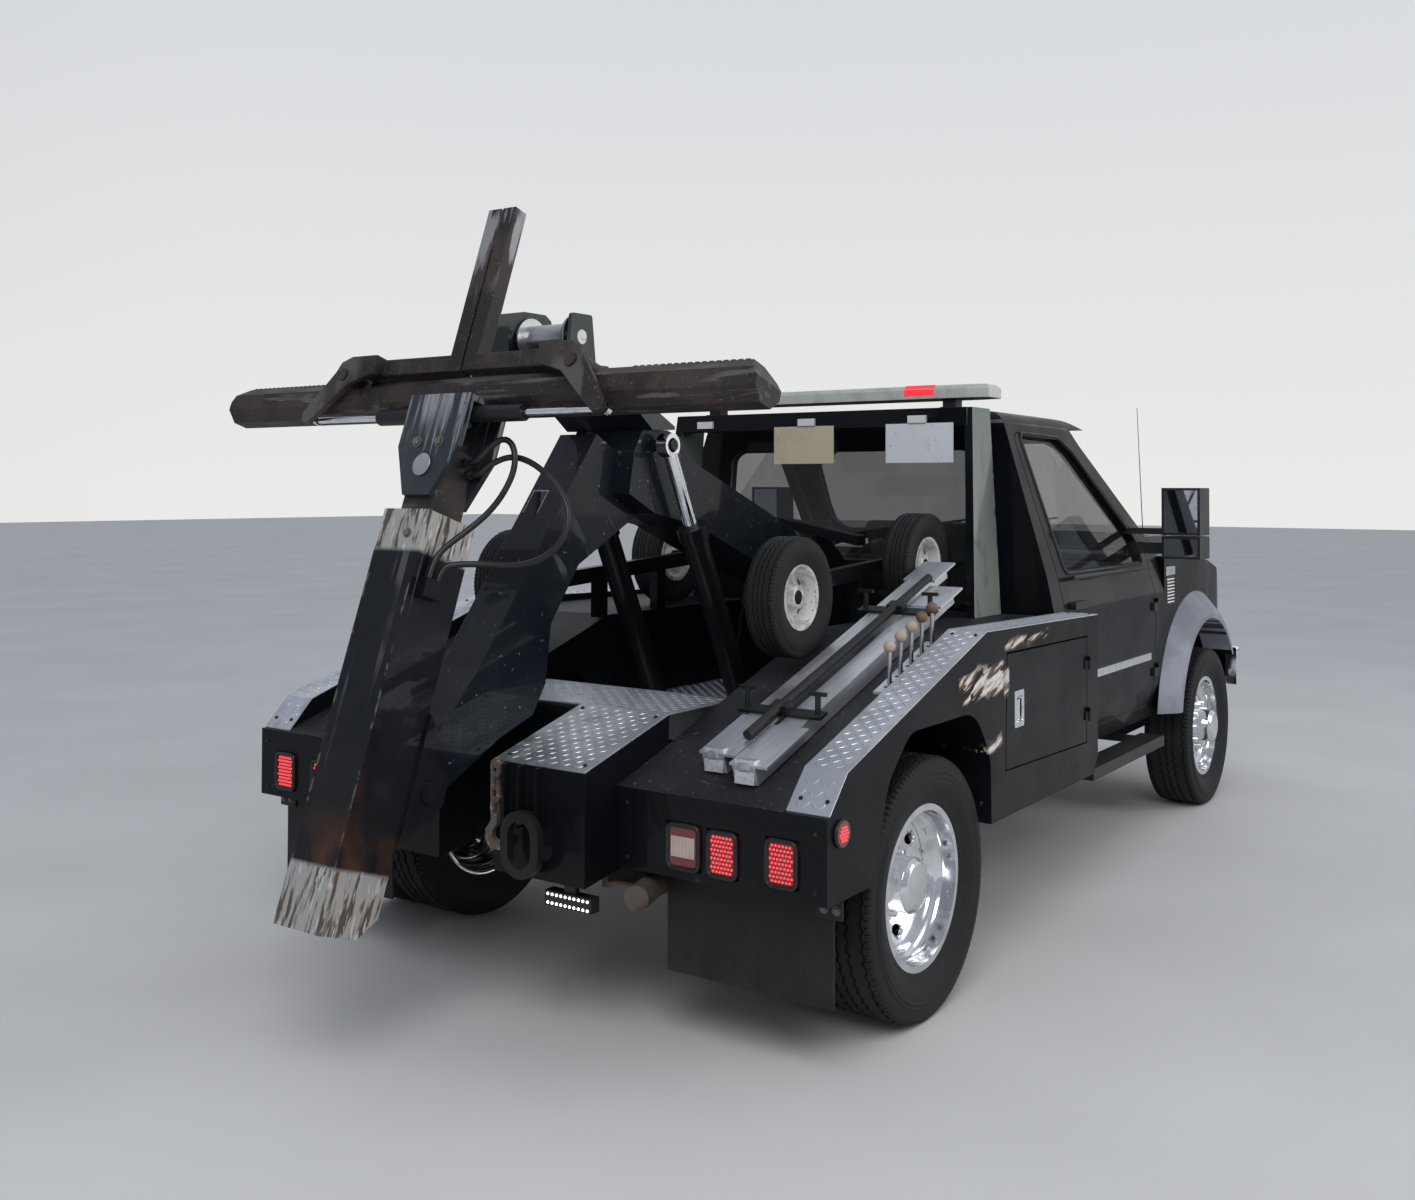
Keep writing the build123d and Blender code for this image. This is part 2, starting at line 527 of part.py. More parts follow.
# Tow chain with its grab hook, on a lug at the slot's right edge, and the big shackle beside it
LINK_PITCH = 38.0
LINK_ROD = 11.0
CHAIN_Y = -SLOT_HALF - 30
CHAIN_X = TAIL_REAR_X - 24
SHACKLE_Y = -277.0
with BuildPart() as chain:
    block(TAIL_REAR_X - 30, TAIL_REAR_X - SEAT, CHAIN_Y - 14, CHAIN_Y + 14, TAIL_EDGE_Z - 16, TAIL_EDGE_Z)
    for i in range(4):
        z = TAIL_EDGE_Z - 18 - LINK_PITCH * i
        plane = Plane.XZ.offset(-CHAIN_Y - LINK_ROD / 2) if i % 2 else Plane.YZ.offset(CHAIN_X - LINK_ROD / 2)
        with BuildSketch(plane) as link:
            with Locations((CHAIN_X if i % 2 else CHAIN_Y, z)):
                SlotOverall(58, 36, rotation=90)
                SlotOverall(38, 14, rotation=90, mode=Mode.SUBTRACT)
        extrude(link.sketch, amount=LINK_ROD)
    hz = TAIL_EDGE_Z - 18 - LINK_PITCH * 4
    front_prism([(CHAIN_Y - 12, hz + 16), (CHAIN_Y + 12, hz + 16), (CHAIN_Y + 12, hz - 6),
                 (CHAIN_Y + 34, hz - 34),
                 (CHAIN_Y + 36, hz - 66), (CHAIN_Y + 12, hz - 92), (CHAIN_Y - 24, hz - 90),
                 (CHAIN_Y - 42, hz - 66),
                 (CHAIN_Y - 30, hz - 56), (CHAIN_Y - 12, hz - 66), (CHAIN_Y + 8, hz - 58),
                 (CHAIN_Y + 8, hz - 38),
                 (CHAIN_Y - 12, hz - 14)], CHAIN_X - 9, CHAIN_X + 9)
    plane = Plane.YZ.offset(TAIL_REAR_X - 62)
    with BuildSketch(plane) as bow:
        with Locations((SHACKLE_Y, 600)):
            SlotOverall(200, 150, rotation=90)
            SlotOverall(140, 90, rotation=90, mode=Mode.SUBTRACT)
    extrude(bow.sketch, amount=26)
    block(TAIL_REAR_X - 62, TAIL_REAR_X - SEAT, SHACKLE_Y - 10, SHACKLE_Y + 10, 662, 690)
keep("tow_chain", chain.part)

with BuildPart() as flaps:
    for side in (-1, 1):
        y0, y1 = sorted((side * 600, side * 1172))
        block(-606, -598, y0, y1, 215, TAIL_BOTTOM_Z - SEAT)
keep("mud_flaps", flaps.part)

# Headache rack and light bar
RACK_TOP_Z = 1998.0
with BuildPart() as rack:
    for side in (-1, 1):
        with BuildSketch(Plane.XY.offset(SLOPE_TOP_Z + SEAT)):
            with Locations(((1174 + 1440) / 2, side * 785)):
                Rectangle(1440 - 1174, 36)
        with BuildSketch(Plane.XY.offset(RACK_TOP_Z)):
            with Locations(((1277 + 1454) / 2, side * 730)):
                Rectangle(1454 - 1277, 36)
        loft()
    block(1265, 1365, -728, 728, 1922, RACK_TOP_Z)
    for y in (575, 31, -507):
        block(1252, 1266, y - 42, y + 42, 1936, 1968)
keep("headache_rack", rack.part)

with BuildPart() as plates:
    block(1261, 1265 - SEAT, -105, 200, 1770, 1935)
    block(1261, 1265 - SEAT, -670, -359, 1770, 1935)
keep("blank_plates", plates.part)

with BuildPart() as bar:
    plan_prism([(1330, -700), (1352, -790), (1478, -790), (1500, -700), (1500, 700), (1478, 790), (1352, 790),
                (1330, 700)], 2040, 2098)
    chamfer(bar.edges().group_by(Axis.Z)[-1], 16)
    for side in (-1, 1):
        block(1370, 1440, side * 600 - 30, side * 600 + 30, RACK_TOP_Z + SEAT + 2, 2045)
        block(1340, 1440, side * 600 - 30, side * 600 + 30, RACK_TOP_Z + SEAT, RACK_TOP_Z + 8)
keep("light_bar", bar.part)

# Boom tower with the pivot bore and the peaked cross bar over the arm
TOWER_HALF = BOOM_FRONT_HALF + GAP
TOWER_PLATE = 20.0
px, pz = BOOM_PIVOT
with BuildPart() as tower:
    for side in (-1, 1):
        y0, y1 = sorted((side * TOWER_HALF, side * (TOWER_HALF + TOWER_PLATE)))
        side_prism([(px - 260, RAIL_TOP + 12.3), (px + 160, RAIL_TOP + 12.3), (px + 110, pz + 90),
                    (px - 60, 1480),
                    (px - 130, 1480), (px - 130, pz)], y0, y1)
    cross_rod(px, pz, 35, -(TOWER_HALF + TOWER_PLATE + 15), TOWER_HALF + TOWER_PLATE + 15)
    front_prism([(-372, 1427), (0, 1494), (372, 1427), (372, 1468), (0, 1535), (-372, 1468)], px - 130,
                px - 60)
keep("boom_tower", tower.part)

# Boom weldment: front arm, elbow and rear arm down to the stinger pin
REAR_EDGE = [(-323.0, 1844.0), (-654.0, 1405.0), (-886.0, 1101.0), (-1001.0, 979.0), (-1130.0, 858.0)]
FRONT_EDGE = [(-789.0, 878.0), (-637.0, 930.0), (-577.0, 1024.0), (-552.0, 1214.0),
              (-414.0, 1402.0), (-84.0, 1571.0)]
ex, ez = STINGER_PIN
lx, lz = LIFT_EYE
LIFT_PIN_RADIUS = 20.0
with BuildPart() as boom:
    side_prism([(-172, 1762), *REAR_EDGE, (ex - 50, ez + 12), (ex + 20, ez - 48), *FRONT_EDGE],
               -BOOM_REAR_HALF, BOOM_REAR_HALF)
    cross_rod(ex, ez, 52, -BOOM_REAR_HALF, BOOM_REAR_HALF)
    side_prism([(-200, 1790), (-156, 1862), (-11, 1866), (71, 1842), (154, 1754), (px + 60, pz + 100),
                (px + 90, pz),
                (px + 40, pz - 80), (556, 1380), (186, 1520), (-84, 1571), (-230, 1640)],
               -BOOM_FRONT_HALF, BOOM_FRONT_HALF)
    cross_rod(lx, lz, LIFT_PIN_RADIUS, -(LIFT_Y + 30), LIFT_Y + 30)
    cross_rod(ex, ez, 30 + PIN_CLEARANCE, -BOOM_REAR_HALF, BOOM_REAR_HALF, mode=Mode.SUBTRACT)
    cross_rod(px, pz, 35 + PIN_CLEARANCE, -BOOM_FRONT_HALF, BOOM_FRONT_HALF, mode=Mode.SUBTRACT)
keep("boom_arm", boom.part)

# Winch on its bracket above the elbow, and the drum that turns in it
WINCH = (-530.0, 2150.0)
DRUM_JOURNAL = 24.0
with BuildPart() as winch:
    side_prism([(-150, 1862 + SEAT), (-20, 1866 + SEAT), (-20, 1878), (-400, 2064), (-640, 2064),
                (-640, 2050),
                (-405, 2050)], -190, 200)
    side_prism([(-632, 2064), (-420, 2064), (-420, 2225), (-450, 2245), (-560, 2245), (-632, 2190)], 40, 200,
               12)
    side_prism([(-600, 2064), (-460, 2064), (-480, 2225), (-580, 2225)], -190, -176, 10)
    cross_rod(*WINCH, 70, 200, 250)
    cross_rod(*WINCH, DRUM_JOURNAL + PIN_CLEARANCE, -200, 120, mode=Mode.SUBTRACT)
keep("boom_winch", winch.part)

with BuildPart() as drum:
    cross_rod(*WINCH, DRUM_JOURNAL, -190, 100)
    cross_rod(*WINCH, 48, -160, 26)
    cross_rod(*WINCH, 74, -168, -160)
    cross_rod(*WINCH, 74, 26, 34)
keep("winch_drum", drum.part)

# Lift cylinders: barrel pinned at the foot, rod pinned at the eye
LIFT_LENGTH = hypot(lx - fx, lz - fz)
LIFT_AXIS = Vector((lx - fx) / LIFT_LENGTH, 0, (lz - fz) / LIFT_LENGTH)
BARREL_LENGTH = LIFT_LENGTH - 320
for side, name in ((1, "left"), (-1, "right")):
    foot = Plane(origin=(fx, side * LIFT_Y, fz), x_dir=(0, 1, 0), z_dir=LIFT_AXIS)
    with BuildPart() as barrel:
        with BuildSketch(foot.offset(30)):
            Circle(28)
        extrude(amount=40)
        with BuildSketch(foot.offset(62)):
            Circle(46)
        extrude(amount=BARREL_LENGTH - 62)
        with BuildSketch(foot.offset(BARREL_LENGTH - 50)):
            Circle(54)
        extrude(amount=50)
        cross_rod(fx, fz, 42, side * LIFT_Y - 24, side * LIFT_Y + 24)
        with BuildSketch(foot.offset(80)):
            Circle(26)
        extrude(amount=BARREL_LENGTH, mode=Mode.SUBTRACT)
        cross_rod(fx, fz, 22 + PIN_CLEARANCE, side * LIFT_Y - 30, side * LIFT_Y + 30, mode=Mode.SUBTRACT)
    keep(f"lift_barrel_{name}", barrel.part)
    with BuildPart() as rod:
        with BuildSketch(foot.offset(300)):
            Circle(25)
        extrude(amount=LIFT_LENGTH - 335)
        cross_rod(lx, lz, 42, side * LIFT_Y - 22, side * LIFT_Y + 22)
        cross_rod(lx, lz, LIFT_PIN_RADIUS + 6, side * LIFT_Y - 30, side * LIFT_Y + 30, mode=Mode.SUBTRACT)
    keep(f"lift_rod_{name}", rod.part)

# Stinger outer tube with the ears of its hinge, in the stinger's own frame
half, deep = TUBE_HALF, TUBE_DEPTH
EAR_Y = BOOM_REAR_HALF + GAP
with BuildPart() as tube:
    bar_prism([(0, 0), (0, STINGER_LENGTH), (-deep, STINGER_LENGTH), (-deep, 60), (-deep + 60, 0)], -half,
              half)
    bar_prism([(-TUBE_WALL, 300), (-TUBE_WALL, STINGER_LENGTH - MOUTH_PAD),
               (-deep + TUBE_WALL, STINGER_LENGTH - MOUTH_PAD), (-deep + TUBE_WALL, 300)],
              -(half - TUBE_WALL), half - TUBE_WALL, mode=Mode.SUBTRACT)
    slot = (INNER_REAR + SEAT, INNER_REAR - 2 * INNER_HALF - SEAT)
    bar_prism([(slot[0], STINGER_LENGTH - MOUTH_PAD - 5), (slot[0], STINGER_LENGTH + 5),
               (slot[1], STINGER_LENGTH + 5), (slot[1], STINGER_LENGTH - MOUTH_PAD - 5)],
              -(INNER_HALF + SEAT), INNER_HALF + SEAT, mode=Mode.SUBTRACT)
    for side in (-1, 1):
        y0, y1 = sorted((side * EAR_Y, side * (EAR_Y + 18)))
        bar_prism([(-deep + 1, 250), (-deep + 1, 640), (-deep - 40, 600), (-330, 470), (-335, 400),
                   (-290, 330)], y0, y1)
    cross_rod(ex, ez, 30, -(EAR_Y + 30), EAR_Y + 30)
    bar_prism([(-30, 955), (-30, GLAND_S), (-106, GLAND_S), (-106, 955)], -half - GLAND_OUT, -half)
keep("stinger_tube", tube.part)

# The two hydraulic hoses of the claws: from the inner tube's side, round in a loop, to the gland
HOSE_RADIUS = 9.5
SHORT_HOSE = [(-85, -115, 1392), (-118, -115, 1392), (-150, -119, 1440), (-192, -127, 1478),
              (-236, -136, 1455),
              (-252, -148, 1385), (-228, -150, 1305), (-190, -140, 1235), (-150, -110, 1170),
              (-122, -70, 1110),
              (-112, -50, 1060), (-112, -50, GLAND_S)]
LONG_HOSE = [(-85, -140, 1360), (-118, -140, 1360), (-150, -145, 1400), (-215, -160, 1432),
             (-300, -178, 1410),
             (-395, -195, 1345), (-448, -210, 1270), (-445, -218, 1185), (-385, -212, 1125),
             (-300, -195, 1095),
             (-220, -165, 1090), (-155, -125, 1078), (-112, -88, 1058), (-112, -88, GLAND_S)]
for name, route in (("hose_short", SHORT_HOSE), ("hose_long", LONG_HOSE)):
    path = [local(*point) for point in route]
    runs = [b - a for a, b in zip(path, path[1:])]
    radii = [0.45 * min(a.length, b.length) / tan(radians(a.get_angle(b)) / 2) for a,
             b in zip(runs, runs[1:])]
    with BuildPart() as hose:
        with BuildLine() as line:
            FilletPolyline(*path, radius=radii)
        with BuildSketch(Plane(origin=path[0], z_dir=runs[0])):
            Circle(HOSE_RADIUS)
        sweep()
    length = sum(edge.length for edge in line.line.edges())
    print(name, "length", round(length), "radii", [round(r) for r in radii])
    print(name, "volume over section x length", round(hose.part.volume / (pi * HOSE_RADIUS**2 * length), 4))
    keep(name, hose.part)

# Inner tube: slides in the outer one on its foot pads and carries the head pin
inner_front = INNER_REAR - 2 * INNER_HALF
with BuildPart() as inner_tube:
    bar_prism([(INNER_REAR, INNER_FOOT_S), (INNER_REAR, HEAD_PIN_S + 70), (inner_front, HEAD_PIN_S + 70),
               (inner_front, INNER_FOOT_S)], -INNER_HALF, INNER_HALF)
    foot_rear, foot_front = -TUBE_WALL - SEAT, -deep + TUBE_WALL + SEAT
    bar_prism([(foot_rear, INNER_FOOT_S), (foot_rear, INNER_FOOT_S + 80), (foot_front, INNER_FOOT_S + 80),
               (foot_front, INNER_FOOT_S)], -(half - TUBE_WALL - SEAT), half - TUBE_WALL - SEAT)
    face_rod(0, HEAD_PIN_S, 36, INNER_REAR + HEAD_PLATE + 6, 2 * INNER_HALF + 2 * HEAD_PLATE + 12)
    for _, d, s in (SHORT_HOSE[0], LONG_HOSE[0]):
        with BuildSketch(Plane(origin=local(-INNER_HALF + 2, d, s), x_dir=(0, 0, 1),
                               z_dir=(0, -1, 0))) as fitting:
            Circle(HOSE_RADIUS + 4)
        extrude(fitting.sketch, amount=85 - INNER_HALF + 2)
keep("stinger_inner", inner_tube.part)

# Crossbar: octagonal tube, head plates that swivel on the pin, and bosses for the claws
bc, bs, bh, ch = BAR_CENTRE_D, BAR_CENTRE_S, BAR_SIZE / 2, BAR_CHAMFER
HEAD = [(-55, HEAD_PIN_S - 95), (55, HEAD_PIN_S - 95), (128, HEAD_PIN_S + 60), (128, bs - 30),
        (-128, bs - 30), (-128, HEAD_PIN_S + 60)]
HEAD_REAR = INNER_REAR + HEAD_PLATE + SEAT
cpy, cps = CLAW_PIVOT
cqy = cpy + CLAW_ARM * sin(radians(CLAW_OPEN_DEG / 2))
cqs = cps - CLAW_ARM * cos(radians(CLAW_OPEN_DEG / 2))
CLAW_PIVOT_RADIUS = 20.0
CLAW_PLATE = (-22.0, 20.0)
with BuildPart() as crossbar:
    bar_prism([(bc + bh, bs - bh + ch), (bc + bh, bs + bh - ch), (bc + bh - ch, bs + bh),
               (bc - bh + ch, bs + bh),
               (bc - bh, bs + bh - ch), (bc - bh, bs - bh + ch), (bc - bh + ch, bs - bh),
               (bc + bh - ch, bs - bh)],
              -CROSSBAR_LENGTH / 2, CROSSBAR_LENGTH / 2)
    for side in (-1, 1):
        end = CROSSBAR_LENGTH / 2
        face_prism([(side * (end - 46), bs + bh + 1), (side * (end + 10), bs + bh + 1),
                    (side * (end + 10), bs + bh - 74)], bc + bh + 1, 2 * bh + 2, mode=Mode.SUBTRACT)
        for i in range(TOOTH_COUNT):
            y = side * (end - 60 - i * TOOTH_PITCH)
            y0, y1 = sorted((y, y - side * TOOTH_PITCH * 0.55))
            bar_prism([(bc + bh - ch + 4, bs + bh - 4), (bc + bh - ch - 2, bs + bh + 4),
                       (bc - bh + ch + 2, bs + bh + 4),
                       (bc - bh + ch - 4, bs + bh - 4)], y0, y1)
    for d0 in (HEAD_REAR, inner_front - SEAT):
        face_prism(HEAD, d0, HEAD_PLATE)
    for d0 in (HEAD_REAR, inner_front - SEAT):
        face_rod(0, HEAD_PIN_S, 36 + PIN_CLEARANCE, d0 + 2, HEAD_PLATE + 4, mode=Mode.SUBTRACT)
    face_prism([(-128, cqs + 31), (128, cqs + 31), (128, bs - 30), (-128, bs - 30)], INNER_REAR + SEAT, 100)
    for side in (-1, 1):
        face_rod(side * cpy, cps, 32, bc + bh, 80)
        face_rod(side * cpy, cps, CLAW_PIVOT_RADIUS, CLAW_PLATE[0] + 8, 80)
    face_rod(0, cqs, 12, HEAD_REAR, 2 * INNER_HALF + HEAD_PLATE)
keep("crossbar", crossbar.part)

with BuildPart() as claw_barrels:
    for side in (-1, 1):
        plane = Plane(origin=local(side * 20, CLAW_CYL_D, cqs), x_dir=(0, 0, 1), z_dir=(0, side, 0))
        with BuildSketch(plane):
            Circle(26)
            Circle(12, mode=Mode.SUBTRACT)
        extrude(amount=290)
        with BuildSketch(plane):
            Circle(26)
        extrude(amount=10)
    face_rod(0, cqs, 20, CLAW_CYL_D + 18, 34)
    face_rod(0, cqs, 12 + PIN_CLEARANCE, CLAW_CYL_D + 30, 60, mode=Mode.SUBTRACT)
keep("claw_barrels", claw_barrels.part)

# Claws: a crank plate hinged on the crossbar that carries an L of two square legs
for side, name in ((1, "left"), (-1, "right")):
    leg_s = bs + bh + GAP
    leg_d = bc + bh
    with BuildPart() as claw:
        face_prism([(side * 4, leg_s), (side * (cpy - 42), leg_s), (side * (cpy - 42), leg_s + CLAW_LEG),
                    (side * (4 + CLAW_LEG), leg_s + CLAW_LEG), (side * (4 + CLAW_LEG), CLAW_TIP_S),
                    (side * 4, CLAW_TIP_S)], leg_d, CLAW_LEG)
        face_prism([(side * (cpy - 140), leg_s), (side * (cpy - 42), leg_s),
                    (side * (cpy - 42), leg_s + CLAW_LEG),
                    (side * (cpy - 140), leg_s + CLAW_LEG)], CLAW_PLATE[0], CLAW_PLATE[0] - leg_d)
        face_prism([(side * (cpy - 140), leg_s - 8), (side * (cpy - 34), cps - 30),
                    (side * (cqy - 26), cqs - 12),
                    (side * (cqy - 8), cqs - 26), (side * (cqy + 20), cqs - 20),
                    (side * (cqy + 26), cqs + 10),
                    (side * (cpy + 44), cps + 10), (side * (cpy + 26), cps + 46),
                    (side * (cpy - 20), leg_s + CLAW_LEG),
                    (side * (cpy - 140), leg_s + CLAW_LEG)], *CLAW_PLATE)
        face_rod(side * cpy, cps, CLAW_PIVOT_RADIUS + PIN_CLEARANCE, 0, 60, mode=Mode.SUBTRACT)
        face_rod(side * cqy, cqs, 8, CLAW_PLATE[0], CLAW_PLATE[0] - CLAW_CYL_D + 14)
    keep(f"claw_{name}", claw.part)
    with BuildPart() as claw_rod:
        plane = Plane(origin=local(side * 290, CLAW_CYL_D, cqs), x_dir=(0, 0, 1), z_dir=(0, side, 0))
        with BuildSketch(plane):
            Circle(11)
        extrude(amount=cqy - 290 - 12)
        face_rod(side * cqy, cqs, 16, CLAW_CYL_D + 9, 18)
        face_rod(side * cqy, cqs, 9, CLAW_CYL_D + 19, 38, mode=Mode.SUBTRACT)
    keep(f"claw_rod_{name}", claw_rod.part)

# Dolly wheels and the frames that carry them
for side, name in ((1, "left"), (-1, "right")):
    for x, z, place in zip(DOLLY_WHEEL_X, DOLLY_WHEEL_Z, ("rear", "front")):
        cy = side * DOLLY_WHEEL_Y
        with BuildPart() as small:
            turned(x, z, tyre_section(cy, DOLLY_TYRE_RADIUS, DOLLY_TYRE_WIDTH, 102))
            ring(x, z, cy - 48, cy - 40, 95, 112)
            ring(x, z, cy + 40, cy + 48, 95, 112)
            ring(x, z, cy - 44, cy + 44, 95, 104)
            ring(x, z, cy + side * 4 - 4, cy + side * 4 + 4, DOLLY_PIN_RADIUS + PIN_CLEARANCE, 98)
            ring(x, z, cy - side * 30, cy + side * 34, DOLLY_PIN_RADIUS + PIN_CLEARANCE, 40)
            with BuildSketch(Plane.XZ.offset(-cy - 20)) as holes:
                with Locations((x, z)):
                    with PolarLocations(68, 4, start_angle=45):
                        SlotOverall(34, 16, rotation=90)
            extrude(holes.sketch, amount=40, mode=Mode.SUBTRACT)
        keep(f"dolly_wheel_{place}_{name}", small.part)

with BuildPart() as carriers:
    for side in (-1, 1):
        inner_y = DOLLY_WHEEL_Y - 110
        y0, y1 = sorted((side * (inner_y - 40), side * inner_y))
        (xa, xb), (za, zb) = DOLLY_WHEEL_X, DOLLY_WHEEL_Z
        side_prism([(xa - 60, za - 30), (xb + 60, zb - 30), (xb + 60, zb + 30), (xa - 60, za + 30)], y0, y1)
        for x, z in zip(DOLLY_WHEEL_X, DOLLY_WHEEL_Z):
            a, b = sorted((side * (inner_y - 20), side * (DOLLY_WHEEL_Y + 34)))
            cross_rod(x, z, DOLLY_PIN_RADIUS, a, b)
        for x in (xa + 330, xb - 250):
            block(x - 30, x + 30, y0, y1, slope_z(x + 30) + SEAT, za + 20)
keep("dolly_carriers", carriers.part)

# Dolly axles stowed on the right slope: tubes with wide end plates and posts, under two clamps with a pry bar
AXLES = ((-745.0, 1600.0, -560.0), (-880.0, 1400.0, -600.0))
AXLE_TUBE = (80.0, 56.0)
SLOPE_LONG = hypot(1, SLOPE_RISE)


def slope_plane(x, y, up):
    """A plane square to the slope's line, its origin at this height over the line, also past the slope's top."""
    z = SLOPE_START_Z + SLOPE_RISE * (x - BODY_REAR_X)
    origin = (x - up * SLOPE_RISE / SLOPE_LONG, y, z + up / SLOPE_LONG)
    return Plane(origin=origin, x_dir=(0, 1, 0), z_dir=(1, 0, SLOPE_RISE))


with BuildPart() as axles:
    for y, length, start in AXLES:
        with BuildSketch(slope_plane(start, y, AXLE_TUBE[1] / 2 + 3)):
            Rectangle(*AXLE_TUBE)
        extrude(amount=length)
        for near, long in ((0, 250), (length - 190, 190)):
            with BuildSketch(slope_plane(start, y, AXLE_TUBE[1] + 3).offset(near)):
                with Locations((-16, 3.5)):
                    Rectangle(AXLE_TUBE[0] + 50, 8)
            extrude(amount=long)
        block(start - 14, start + 14, y - 34, y + 34, slope_z(start + 14) + SEAT, slope_z(start) + 76)
        block(start - 20, start + 20, y - 20, y + 20, slope_z(start) + 40, slope_z(start) + 66,
              mode=Mode.SUBTRACT)
keep("dolly_axles", axles.part)

CLAMP_X = (-300.0, 480.0)
with BuildPart() as clamps:
    mid = (AXLES[0][0] + AXLES[1][0]) / 2
    low = AXLE_TUBE[1] + 3 + SEAT
    with BuildSketch(slope_plane(-470, mid, low + 25)):
        Circle(15)
    extrude(amount=1300)
    for x in CLAMP_X:
        with BuildSketch(slope_plane(x, mid, low)):
            with Locations((0, 4.8)):
                Rectangle(300, 9.6)
            with Locations((0, 18)):
                Rectangle(60, 34)
        extrude(amount=46)
        for dy in (-128, 128):
            screw = slope_plane(x, mid + dy, low + 4).offset(23).origin
            with Locations((screw.X, screw.Y, screw.Z + 30)):
                Cylinder(9, 76)
            with Locations((screw.X, screw.Y, screw.Z + 66)):
                Box(14, 60, 12)
keep("dolly_clamps", clamps.part)

# Cab: outer form from a side outline and a front outline, hollowed by the same form set in
CAB_BACK_X = 1524.0
CAB_FLOOR_Z = 560.0
COWL_X = 3330.0
DASH_X = 3042.0
CAB_TUNNEL_Y = 520.0
CAB_TUNNEL_Z = RAIL_TOP + SEAT


# The windscreen bends back at its corners: points in plan at its base, swept up along its rake
SCREEN_BASE_Z = 1425.0
SCREEN_RUN = (-710.0, 0.0, 505.0)
SCREEN_CORNER = [(COWL_X + 8, 0.0), (COWL_X + 8, 380.0), (COWL_X - 60, 560.0), (COWL_X - 170, 690.0),
                 (COWL_X - 305, 790.0), (COWL_X - 366, 930.0), (COWL_X - 420, 1060.0)]


def cab_side(by):
    return [(CAB_BACK_X + by, CAB_FLOOR_Z - 30 + by, 0), (CAB_BACK_X + by, 1300, 0),
            (CAB_BACK_X + 36 + by, 2000 - by, 80 - by), (2370, 1990 - by, 400), (2620, 1925 - by, 300),
            (COWL_X - by * 1.2, 1420 - by * 0.6, 0), (COWL_X - by * 1.2, 1380 - by, 0),
            (DASH_X - by, 1330 - by, 0),
            (DASH_X - by, CAB_FLOOR_Z - 30 + by, 0)]


def cab_front(by):
    w = CAB_HALF_WIDTH
    right = [(CAB_TUNNEL_Y + by, CAB_TUNNEL_Z + by, 0), (CAB_TUNNEL_Y + by, CAB_FLOOR_Z - 30 + by, 0),
             (w - 50 - by, CAB_FLOOR_Z - 30 + by, 0), (w - by, 700, 260), (w - by, 1150, 160),
             (w - 32 - by, 1300, 90), (750 - by, 1999 - by, 110 - by)]
    return right + [(-y, z, r) for y, z, r in reversed(right)]


def cab_form(by):
    back = by * 1.2
    with BuildPart() as form:
        extrude(rounded(Plane.XZ.offset(-CAB_HALF_WIDTH - 20), cab_side(by)), amount=2 * CAB_HALF_WIDTH + 40)
        extrude(rounded(Plane.YZ.offset(CAB_BACK_X - 50), cab_front(by)), amount=COWL_X - CAB_BACK_X + 100,
                mode=Mode.INTERSECT)
        for side in (-1, 1):
            corner = [(x - back, side * y) for x, y in SCREEN_CORNER] + [(COWL_X + 900, side * 1400),
                                                                         (COWL_X + 900, 0)]
            extrude(outline(Plane.XY.offset(SCREEN_BASE_Z), corner), amount=900, dir=SCREEN_RUN,
                    mode=Mode.SUBTRACT)
    return form.part


CAB_WALL = 50.0
CAB_DOOR = [(1683.0, 600.0), (1640.0, 1300.0), (1590.0, 1900.0), (1650.0, 1935.0), (2180.0, 1925.0),
            (2320.0, 1852.0),
            (2870.0, 1400.0), (2900.0, 1000.0), (2860.0, 600.0)]
CAB_DOOR_TAPER = 8.0
REAR_WINDOW = [(-640, 1340), (640, 1340), (620, 1830), (-620, 1830)]
SCREEN = [(-830, 1440), (830, 1440), (700, 1890), (-700, 1890)]
DOOR_HINGE = (2903.0, CAB_HALF_WIDTH + 8.0)
DOOR_HINGE_Z = (745.0, 1065.0)
MIRROR_X = 2755.0
MIRROR_Y = 1085.0
MIRROR_ARMS = ((2780.0, 2818.0, 1350.0, 1405.0), (2717.0, 2740.0, 1446.0, 1476.0))
MIRROR_GLASSES = ((1330.0, 1437.0), (1443.0, 1670.0))
MIRROR_WIDTH = 180.0


def mirror_root(z):
    """Half width of the door's skin at this height, less enough for the arm to join it."""
    return CAB_HALF_WIDTH - 32 - (z - 1300) * (CAB_HALF_WIDTH - 32 - 750) / (1999 - 1300) - 25


outer_cab = cab_form(0.0)
inner_cab = cab_form(CAB_WALL)


def door_cutter(side, grow):
    points = moved_outline(CAB_DOOR, grow)
    plane = Plane(origin=(0, side * (CAB_HALF_WIDTH + 20), 0), x_dir=(side, 0, 0), z_dir=(0, -side, 0))
    with BuildPart() as cutter:
        extrude(outline(plane, [(side * x, z) for x, z in points]), amount=380, taper=CAB_DOOR_TAPER)
    return cutter.part


with BuildPart() as cab:
    add(outer_cab)
    add(inner_cab, mode=Mode.SUBTRACT)
    for side in (-1, 1):
        add(door_cutter(side, GAP), mode=Mode.SUBTRACT)
    front_prism(REAR_WINDOW, CAB_BACK_X - 40, CAB_BACK_X + 120, 60, mode=Mode.SUBTRACT)
    front_prism(SCREEN, 2560, COWL_X + 40, 50, mode=Mode.SUBTRACT)
    hx, hy = DOOR_HINGE
    for side in (-1, 1):
        for z in DOOR_HINGE_Z:
            block(hx - 5, hx + 34, *span(side, CAB_HALF_WIDTH + 1, hy + 5), z + 42, z + 60)
            block(hx + 12, hx + 34, *span(side, CAB_HALF_WIDTH - 4, hy + 5), z + 42, z + 60)
            with Locations((hx, side * hy, z + 30)):
                Cylinder(4, 60)
keep("cab_shell", cab.part)

